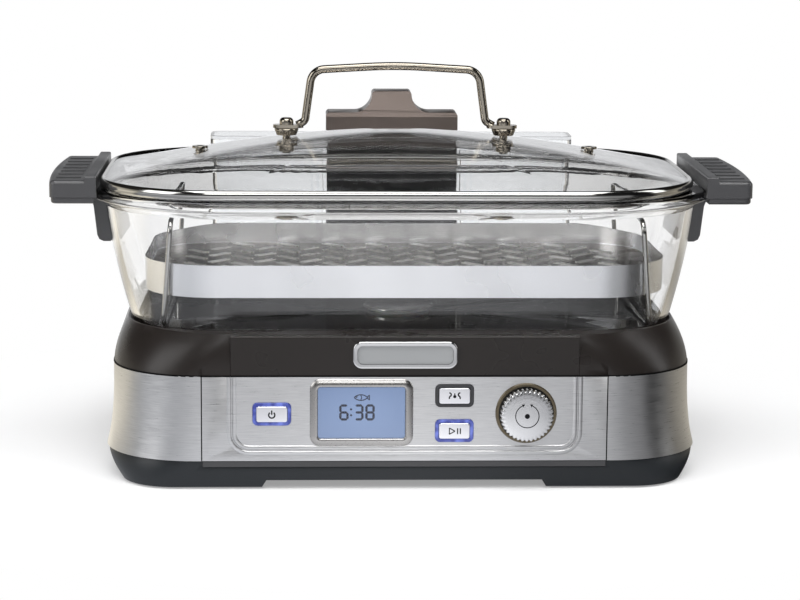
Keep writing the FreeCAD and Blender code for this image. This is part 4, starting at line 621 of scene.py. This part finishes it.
# Inside the tub, on each side: a short hooked rib by the outer wall, and two long ones by the spine.
TANK_FRONT = 108.5
TANK_HALF = 122.5
SPINE_HALF = 44.4
mesh = bmesh.new()
for side in (-1, 1):
    for x, y, z, width, depth, height in (
            (TANK_HALF - 10.0, TANK_FRONT + 7.0, 163.0, 14.0, 1.6, 1.6),
            (TANK_HALF - 4.6, TANK_FRONT + 7.0, 168.0, 1.8, 1.6, 10.0),
            (SPINE_HALF + 6.2, TANK_FRONT + 4.2, 133.0, 2.0, 3.0, 88.0),
            (SPINE_HALF + 10.4, TANK_FRONT + 4.2, 133.0, 1.4, 3.0, 88.0)):
        rib = bmesh.ops.create_cube(mesh, size=MM)["verts"]
        bmesh.ops.scale(mesh, verts=rib, vec=(width, depth, height))
        bmesh.ops.translate(mesh, verts=rib, vec=(side * x * MM, y * MM, z * MM))
finish(mesh, "tank_inside_ribs", clear_san, "clear_plastic", "tank", rounding=0.3)

spine_abs = moulded("polished black ABS", ("#121212", "#181818"), 0.3, 1.0, 0.05,
                    Specular_IOR_Level=0.2)
recast("tank_spine", "tank_spine_moulding", spine_abs, "spine_plastic", "tank", rounding=0.5)

# The long shallow creases of the grip are eased, and its sharp edges are only rounded.
bronze_abs = moulded("bronze metallic ABS", ("#5b524e", "#675e58"), 0.36, 0.3, 0.06, metallic=0.85)
EASING = 3.5
LONG_CREASE = 8.0
SHALLOWEST = math.radians(6)
STEEPEST = math.radians(32)
mesh = copy_solid("tank_cap")
shallow = [edge for edge in mesh.edges if edge.is_manifold and edge.calc_length() > LONG_CREASE * MM
           and SHALLOWEST < edge.calc_face_angle() < STEEPEST]
bmesh.ops.bevel(mesh, geom=shallow, offset=EASING * MM, offset_type="OFFSET", affect="EDGES", segments=6,
                profile=0.5, material=-1, clamp_overlap=True)
finish(mesh, "tank_grip", bronze_abs, "grip_plastic", "tank_lid", replaced=("tank_cap",), rounding=0.5)

# ---- Pot ----
# Pressed and tempered soda-lime glass: a flat floor with a steam hole, rounded foot,
# tapered wall, a sloping ledge and a heavy flange with a raised lip round the lid.
POT_Y = -16.5
POT_BOTTOM = 84.4
POT_FOOT = (161.5, 98.0, 48.0)
POT_FLARE = (20.5, 14.0, 34.0)
WALL_CURVE = 1.55
LEDGE = 160.8
FLANGE = (189.5, 123.0, 92.0)
FLANGE_TOP = 171.6
GLASS_WALL = 4.5
FOOT_RADIUS = 12.0
FOOT_TURN = math.radians(70)
STEAM_HOLE = 16.0


def pot_plan(z, inset):
    """Half width, half depth and corner of the tapered wall at a height, set in by some mm."""
    share = 1 - (1 - (z - POT_BOTTOM) / (FLANGE_TOP - POT_BOTTOM)) ** WALL_CURVE
    return tuple(foot + share * flare - inset for foot, flare in zip(POT_FOOT, POT_FLARE))


def foot_levels(inset, radius):
    """Round foot between the floor and the wall, as level rings."""
    floor_z = POT_BOTTOM + inset
    wall = pot_plan(floor_z + radius * (1 - math.cos(FOOT_TURN)), inset)
    levels = []
    for step in range(7):
        angle = FOOT_TURN * step / 6
        in_by = radius * (math.sin(FOOT_TURN) - math.sin(angle))
        levels.append(grown(wall, -in_by, floor_z + radius * (1 - math.cos(angle))))
    return levels


glass = clear("tempered soda-lime glass", "#ffffff", 0.0, 1.5, Specular_IOR_Level=0.05)
outside = foot_levels(0, FOOT_RADIUS)
for z in (98, 106, 115, 125, 135, 145, 153, 158):
    outside.append(grown(pot_plan(z, 0), 0, z))
half_x, half_y, corner = pot_plan(LEDGE, 0)
for rise, out in ((0.0, 0.3), (0.8, 1.3), (2.4, 3.0), (3.8, 4.2)):
    outside.append(grown((half_x, half_y - 0.4, corner), out, LEDGE + rise))
for below, inset in ((6.2, 3.0), (6.1, 1.7), (5.6, 0.6), (4.7, 0.0), (2.1, 0.0), (0.9, 0.6), (0.2, 1.7),
                     (0.0, 3.0)):
    outside.append(grown(FLANGE, -inset, FLANGE_TOP - below))
inside = [grown(pot_plan(z, inset), 0, z) for z, inset in ((FLANGE_TOP, 3.3), (FLANGE_TOP - 1.0, 4.3))]
for z in (165, 155, 145, 135, 125, 115, 106, 99):
    inside.append(grown(pot_plan(z, GLASS_WALL), 0, z))
inside += reversed(foot_levels(GLASS_WALL, FOOT_RADIUS - GLASS_WALL))
hole = [grown((STEAM_HOLE, STEAM_HOLE, STEAM_HOLE - 0.3), out, z)
        for out, z in ((0.2, POT_BOTTOM + GLASS_WALL), (0, POT_BOTTOM))]
mesh = loft(outside + inside + hole, (0, POT_Y), closed=True)
finish(mesh, "pot_glass_pressing", glass, "glass", "pot", replaced=("pot_glass",), crease=40)

# ---- Steam inlet cap ----
# Low pierced cap of polished stainless steel. It stands over the steam hole in the pot's
# floor, spreads the steam, and keeps food out of the hole.
polished_stainless, shader = surface("polished stainless steel", "#bdbcb9", 0.1, metallic=1.0)
place = add(polished_stainless, "TexCoord").outputs["Object"]
drawn = add(polished_stainless, "Mapping", {"Vector": place, "Scale": (40, 40, 700)})
lines = add(polished_stainless, "TexNoise", {"Vector": drawn.outputs["Vector"], "Scale": 1.0, "Detail": 3.0})
gloss = add(polished_stainless, "MapRange", {"Value": lines.outputs["Fac"], "To Min": 0.05, "To Max": 0.2})
polished_stainless.node_tree.links.new(gloss.outputs["Result"], shader.inputs["Roughness"])
dress("steam_inlet_cap", polished_stainless)

# ---- Pot handles ----
# Two halves of black glass-filled nylon, screwed together through the flange: a ribbed
# grip with a raised collar above, and a pan with a leg against the wall below.
handle_nylon = moulded("black satin nylon", ("#353537", "#404042"), 0.4, 0.8, 0.14, Specular_IOR_Level=0.8)
for side in ("left", "right"):
    recast(side + "_handle", side + "_grip_top", handle_nylon,
           "handle_plastic", "pot", crease=30, rounding=0.4)
    recast(side + "_handle_clamp", side + "_grip_pan", handle_nylon,
           "handle_plastic", "pot", crease=24, rounding=0.6)

# ---- Steam tray ----
# Stainless sheet folded to a shallow tray and polished, its floor pierced with slots in a
# herringbone. Two closed loops of round wire are welded to its ends as feet and lifts.
TRAY_X = 2.8
TRAY_FLOOR = 119.2
TRAY_HALF = 160.0
TRAY_HALF_DEPTH = 80.0
TRAY_CORNER = 45.0
SLOT = 19.0
SLOT_WIDTH = 2.6
COLUMN_PITCH = 14.5
ROW_PITCH = 26.0
SIDE_MARGIN = 5.0
CORNER_MARGIN = 4.0
LIP = 0.65
LIP_OUT = 0.2

# The walls are bright steel, and inside them the floor is painted a darker grey as painted shade for the
# dark it reflects.
FLOOR_EDGE = 1.6
satin_steel = moulded("satin rolled stainless steel", ("#e6e7e9", "#f0f1f3"), 0.25, 0.6, 0.05,
                      metallic=1.0)
shader = satin_steel.node_tree.nodes["Principled BSDF"]
place = add(satin_steel, "TexCoord").outputs["Object"]
height = add(satin_steel, "SeparateXYZ", {"Vector": place}).outputs["Z"]
middle = (TRAY_X * MM, POT_Y * MM, 0)
straight = ((TRAY_HALF - TRAY_CORNER) * MM, (TRAY_HALF_DEPTH - TRAY_CORNER) * MM, 0)
for operation, values in (("SUBTRACT", middle), ("ABSOLUTE", (0, 0, 0)), ("SUBTRACT", straight),
                          ("MAXIMUM", (0, 0, 0)), ("MULTIPLY", (1, 1, 0))):
    place = add(satin_steel, "VectorMath", {0: place, 1: values}, operation=operation).outputs["Vector"]
out_of_middle = add(satin_steel, "VectorMath", {0: place}, operation="LENGTH").outputs["Value"]
within = combine(satin_steel, "LESS_THAN", out_of_middle, (TRAY_CORNER - FLOOR_EDGE) * MM)
on_floor = combine(satin_steel, "COMPARE", height, TRAY_FLOOR * MM, 0.5 * MM)
# Painted shade: the tray floor inside the walls takes the darker grey.
painted_floor_shade = combine(satin_steel, "MULTIPLY", within, on_floor)
tone = add(satin_steel, "Mix", {0: painted_floor_shade, 6: linear("#f4f5f7"), 7: linear("#8d8781")}, data_type="RGBA")
satin_steel.node_tree.links.new(tone.outputs[2], shader.inputs["Base Color"])
recast("steam_tray", "steam_tray_sheet", satin_steel, "polished_steel", "tray", crease=40)

# Each slot is punched from below, which leaves a bright raised lip along both sides.
mesh = bmesh.new()
for column in range(-9, 10):
    leaning = math.radians(45 if column % 2 == 0 else -45)
    for row in range(-3, 4):
        x = column * COLUMN_PITCH
        y = (row + 0.5 * (column % 2)) * ROW_PITCH
        corner = math.hypot(max(0, abs(x) - TRAY_HALF + TRAY_CORNER),
                            max(0, abs(y) - TRAY_HALF_DEPTH + TRAY_CORNER))
        if (abs(y) > TRAY_HALF_DEPTH - SLOT / 2 - SIDE_MARGIN
                or corner > TRAY_CORNER - SLOT / 2 - CORNER_MARGIN):
            continue
        for side in (-1, 1):
            lip = bmesh.ops.create_cone(mesh, cap_ends=True, segments=8, radius1=LIP, radius2=LIP,
                                        depth=SLOT - SLOT_WIDTH)["verts"]
            bmesh.ops.rotate(mesh, verts=lip, matrix=Matrix.Rotation(math.pi / 2, 3, "Y"))
            bmesh.ops.translate(mesh, verts=lip, vec=(0, side * (SLOT_WIDTH / 2 + LIP_OUT), 0))
            bmesh.ops.rotate(mesh, verts=lip, matrix=Matrix.Rotation(leaning, 3, "Z"))
            bmesh.ops.translate(mesh, verts=lip, vec=(TRAY_X + x, POT_Y + y, TRAY_FLOOR))
bmesh.ops.scale(mesh, vec=(MM, MM, MM), verts=mesh.verts)
bright_steel = moulded("bright sheared steel", ("#f0f0ee", "#fafaf8"), 0.3, 0.6, 0.05, metallic=1.0)
finish(mesh, "punched_slot_lips", bright_steel, "polished_steel", "tray", crease=50)
recast("tray_wires", "tray_loops", polished_stainless, "steel_wire", "tray", crease=50)

# ---- Lid glass ----
# Dome of tempered soda-lime glass, moulded to an even thickness and crowned alike in every
# direction. Its ground edge sits inside the steel rim.
LID_X = -2.5
RIM_BOTTOM = 172.0
GLASS_EDGE = 173.2
LID_GLASS = 4.0
DOME_RISE = 25.4
DOME_SWELL = 1.65
DOME = (180.1, 115.7, 74.7)
OVAL = 2.3
CROWN_FADE = 6
EDGE_LEAN = 0.8


def dome_level(share, drop, spread):
    """Level ring of the dome where its plan has shrunk to a share of the rim."""
    z = GLASS_EDGE + LID_GLASS + DOME_RISE * (1 - share ** DOME_SWELL) - drop
    return grown([size * share for size in DOME], spread, z)


def crown(vert, inner):
    """How far a point of the dome moves up, so that it is crowned alike in every direction."""
    top = GLASS_EDGE + LID_GLASS + DOME_RISE
    depth = top - vert.co.z / MM
    if any(abs(vert.co.z / MM - level[3]) < 0.01 for level in inner):
        depth -= LID_GLASS
    share = (max(depth, 0.0) / DOME_RISE) ** (1 / DOME_SWELL)
    x = abs(vert.co.x / MM - LID_X) / DOME[0]
    y = abs(vert.co.y / MM - POT_Y) / DOME[1]
    oval = (x ** OVAL + y ** OVAL) ** (1 / OVAL)
    blended = oval - (oval - share) * min(share, 1.0) ** CROWN_FADE
    return DOME_RISE * (share ** DOME_SWELL - blended ** DOME_SWELL)


shares = (1.0, 0.97, 0.92, 0.85, 0.76, 0.66, 0.55, 0.44, 0.33, 0.22, 0.12, 0.04)
upper = [dome_level(share, 0, 0) for share in shares]
lower = [dome_level(share, LID_GLASS, -EDGE_LEAN * share) for share in shares]
mesh = loft(list(reversed(lower)) + upper, (LID_X, POT_Y), steps=24, cuts=15)
for level in (lower[-1], upper[-1]):
    tip = [edge for edge in mesh.edges
           if edge.is_boundary and abs(edge.verts[0].co.z - level[3] * MM) < 1e-5]
    bmesh.ops.contextual_create(mesh, geom=tip)
for vert in mesh.verts:
    vert.co.z += crown(vert, lower) * MM
bmesh.ops.recalc_face_normals(mesh, faces=mesh.faces)
finish(mesh, "lid_glass_dome", glass, "glass", "lid", replaced=("lid_glass",), crease=40)

# ---- Lid rim ----
# Strip of polished stainless steel, rolled into a round-edged channel and closed round the
# edge of the glass, which it grips.
RIM_TOP = 178.4
RIM = (181.4, 117.0, 76.0)
RIM_ROUND = 2.2
profile = []
for step in range(13):
    angle = math.radians(-90 + 180 * step / 12)
    profile.append((RIM_ROUND * (1 - math.cos(angle)),
                    (RIM_BOTTOM + RIM_TOP) / 2 + (RIM_TOP - RIM_BOTTOM) / 2 * math.sin(angle)))
profile += [(3.0, RIM_TOP - 0.15), (3.6, RIM_TOP - 0.7), (2.4, GLASS_EDGE + LID_GLASS + 0.25),
            (1.2, GLASS_EDGE + LID_GLASS), (1.2, GLASS_EDGE - 0.2), (5.4, GLASS_EDGE - 0.2),
            (5.4, RIM_BOTTOM)]
mesh = loft([grown(RIM, -inset, z) for inset, z in profile], (LID_X, POT_Y), closed=True)
finish(mesh, "lid_rim_band", polished_stainless, "polished_steel", "lid", replaced=("lid_rim",), crease=40)

# ---- Lid handle ----
# Bail of polished round wire with flattened feet, each held by a domed bolt through a
# steel cup, the glass and a soft washer, with a nut inside the lid.
turned_steel = moulded("turned nickel-plated steel", ("#8d867a", "#a39c90"), 0.15, 5.0, 0.01, metallic=1.0)
recast("lid_handle", "lid_bail", turned_steel, "steel_wire", "lid", crease=60)
for node in ("handle_washers", "handle_bolts", "handle_nuts", "vent_grommets"):
    recast(node, node + "_turned", turned_steel, "zinc_fastener", "lid")

# ---- Studio ----
# A pale sheet of floor in a quiet room with pale panels and darker gaps. A large soft lamp
# hangs above the front, a low wide one is in front, and one more stands on each side.
ROOM = ((0.0, "#f2f3f6"), (0.05, "#dfe0e4"), (0.09, "#a4a5a8"), (0.14, "#8c8c8e"), (0.155, "#262627"),
        (0.205, "#1c1c1d"), (0.225, "#8a867d"), (0.30, "#b0a99b"), (0.40, "#bcb9b3"), (0.46, "#f4f5f7"),
        (0.56, "#f4f5f7"), (0.64, "#e4ddce"), (0.765, "#f2ebdb"), (0.775, "#7c7b79"), (0.785, "#b4b6ba"),
        (0.88, "#c3c5ca"), (0.95, "#dfe0e4"), (1.0, "#f2f3f6"))


def ramp(owner, factor, stops):
    """Colour that runs through stops of place and colour, of which the first is at 0 and the last at 1."""
    node = add(owner, "ValToRGB", {"Fac": factor})
    elements = node.color_ramp.elements
    elements[0].color = stops[0][1]
    elements[1].color = stops[-1][1]
    for place, colour in stops[1:-1]:
        elements.new(place).color = colour
    return node.outputs["Color"]


def room(owner, direction):
    """Colour of the room round the object in a level direction, white behind it."""
    turned = add(owner, "Mapping", {"Vector": direction, "Rotation": (0, 0, -math.pi / 2)})
    round_about = add(owner, "TexGradient", {"Vector": turned.outputs["Vector"]}, gradient_type="RADIAL")
    return ramp(owner, round_about.outputs["Fac"], [(place, linear(colour)) for place, colour in ROOM])


def sight(owner):
    """Light path, whether it looks straight through clear pieces, and whether it is a reflection."""
    path = add(owner, "LightPath").outputs
    turns = combine(owner, "ADD", path["Glossy Depth"], path["Diffuse Depth"])
    straight = combine(owner, "LESS_THAN", turns, 0.5)
    through = combine(owner, "MULTIPLY", path["Is Transmission Ray"], straight)
    mirrored = combine(owner, "MAXIMUM", path["Is Glossy Ray"], path["Is Transmission Ray"])
    return path, through, mirrored


# The floor is plain white to the eye away from the object, and keeps its shadow near it.
# In reflections it shows the room, darker close under the object as painted shade, with a painted ring of
# light round it.
FLOOR_HALF = 6.0
SHADOW_REACH = 0.36
FLOOR_LIFT = 0.3
FLOOR_PAINTED_LIGHT = ((0.0, 0.5), (0.135, 0.75), (0.19, 1.0), (0.24, 1.0), (0.32, 0.72), (0.44, 0.46),
               (0.56, 0.46), (0.7, 0.74), (1.0, 0.76))
floor_material, shader = surface("pale matt floor", "#f7f7f7", 0.8)
path, through, mirrored = sight(floor_material)
place = add(floor_material, "TexCoord").outputs["Object"]
oval = add(floor_material, "VectorMath", {0: place, 1: (0.85, 1.0, 1.0)}, operation="MULTIPLY")
length = add(floor_material, "VectorMath", {0: oval.outputs["Vector"]}, operation="LENGTH")
distance = length.outputs["Value"]
plain = add(floor_material, "MapRange", {"Value": distance, "From Min": SHADOW_REACH * 0.45,
                                         "From Max": SHADOW_REACH}, interpolation_type="SMOOTHSTEP")
from_camera = combine(floor_material, "MULTIPLY", path["Is Camera Ray"], plain.outputs["Result"])
seen_white = combine(floor_material, "MAXIMUM", from_camera, through)
white = add(floor_material, "Emission", {"Color": (1, 1, 1, 1), "Strength": 1.0}).outputs["Emission"]
# Painted shade and a painted pool of light in the floor as reflections see it, by distance from the object.
painted_floor_light = ramp(floor_material, distance, [(reach, (tone, tone, tone, 1)) for reach, tone in FLOOR_PAINTED_LIGHT])
reflection = add(floor_material, "Emission", {"Color": room(floor_material, place),
                                              "Strength": combine(floor_material, "MULTIPLY", painted_floor_light, 1.6)})
lifted = blend(floor_material, FLOOR_LIFT, shader.outputs["BSDF"], white)
shown = blend(floor_material, mirrored, lifted, reflection.outputs["Emission"])
shown = blend(floor_material, seen_white, shown, white)
output = floor_material.node_tree.nodes["Material Output"]
floor_material.node_tree.links.new(shown, output.inputs["Surface"])
mesh = bmesh.new()
bmesh.ops.create_grid(mesh, x_segments=1, y_segments=1, size=FLOOR_HALF)
floor_data = bpy.data.meshes.new("floor")
mesh.to_mesh(floor_data)
mesh.free()
floor_data.materials.append(floor_material)
floor = bpy.data.objects.new("floor", floor_data)
scene.collection.objects.link(floor)

# The room is white to the eye and even for the light it gives. Its panels show in reflections,
# low down and mostly behind, and not beyond the first panes of glass.
world = bpy.data.worlds.new("quiet room")
scene.world = world
world.use_nodes = True
background = world.node_tree.nodes["Background"]
background.inputs["Strength"].default_value = 0.6
background.inputs["Color"].default_value = linear("#e6e6e8")
path, through, mirrored = sight(world)
place = add(world, "TexCoord").outputs["Generated"]
toward = add(world, "SeparateXYZ", {"Vector": place}).outputs
low = add(world, "MapRange", {"Value": toward["Z"], "From Min": 0.18, "From Max": 0.29,
                              "To Min": 0.85, "To Max": 0.0}).outputs["Result"]
behind = add(world, "MapRange", {"Value": toward["Y"], "From Min": -0.3, "From Max": 0.3,
                                 "To Min": 0.2, "To Max": 1.0}).outputs["Result"]
first_panes = combine(world, "LESS_THAN", path["Transmission Depth"], 2.5)
strength = combine(world, "MULTIPLY", combine(world, "MULTIPLY", low, behind), first_panes)
panels = add(world, "Background", {"Color": room(world, place),
                                   "Strength": combine(world, "MAXIMUM", strength, 0.025)})
bright = add(world, "Background", {"Color": (1, 1, 1, 1), "Strength": 1.0})
shown = blend(world, mirrored, background.outputs["Background"], panels.outputs["Background"])
shown = blend(world, combine(world, "MAXIMUM", path["Is Camera Ray"], through), shown,
              bright.outputs["Background"])
world.node_tree.links.new(shown, world.node_tree.nodes["World Output"].inputs["Surface"])

LAMP_AIM = Vector((0, 0, 0.1))
for name, place, width, height, power in (
        ("top softbox", (0.0, -0.6, 1.9), 1.6, 1.0, 26.0),
        ("front softbox", (0.0, -1.7, 1.25), 1.3, 0.5, 9.0),
        ("left softbox", (-1.7, -0.9, 0.9), 1.1, 1.2, 12.0),
        ("right softbox", (1.8, -0.2, 1.0), 0.5, 1.4, 6.0)):
    lamp = bpy.data.lights.new(name, "AREA")
    lamp.shape = "RECTANGLE"
    lamp.size = width
    lamp.size_y = height
    lamp.energy = power
    holder = bpy.data.objects.new(name, lamp)
    holder.location = place
    holder.rotation_euler = (LAMP_AIM - Vector(place)).to_track_quat("-Z", "Y").to_euler()
    scene.collection.objects.link(holder)

# Camera: a long lens a little above the lid, turned slightly to the left of the middle.
AIM = Vector((0.0013, -0.0165, 0.09368))
DISTANCE = 1.62
AZIMUTH = math.radians(-2.295)
ELEVATION = math.radians(9.94)
ROLL = math.radians(0.4)
away = Vector((math.sin(AZIMUTH) * math.cos(ELEVATION), -math.cos(AZIMUTH) * math.cos(ELEVATION),
               math.sin(ELEVATION)))
view = bpy.data.cameras.new("view")
view.lens = 115.04
view.sensor_width = 36.0
view.sensor_fit = "HORIZONTAL"
camera = bpy.data.objects.new("view", view)
camera.location = AIM + away * DISTANCE
facing = (-away).to_track_quat("-Z", "Y")
camera.rotation_euler = (facing.to_matrix() @ Matrix.Rotation(ROLL, 3, "Z")).to_euler()
scene.collection.objects.link(camera)
scene.camera = camera
scene.view_settings.view_transform = "Standard"
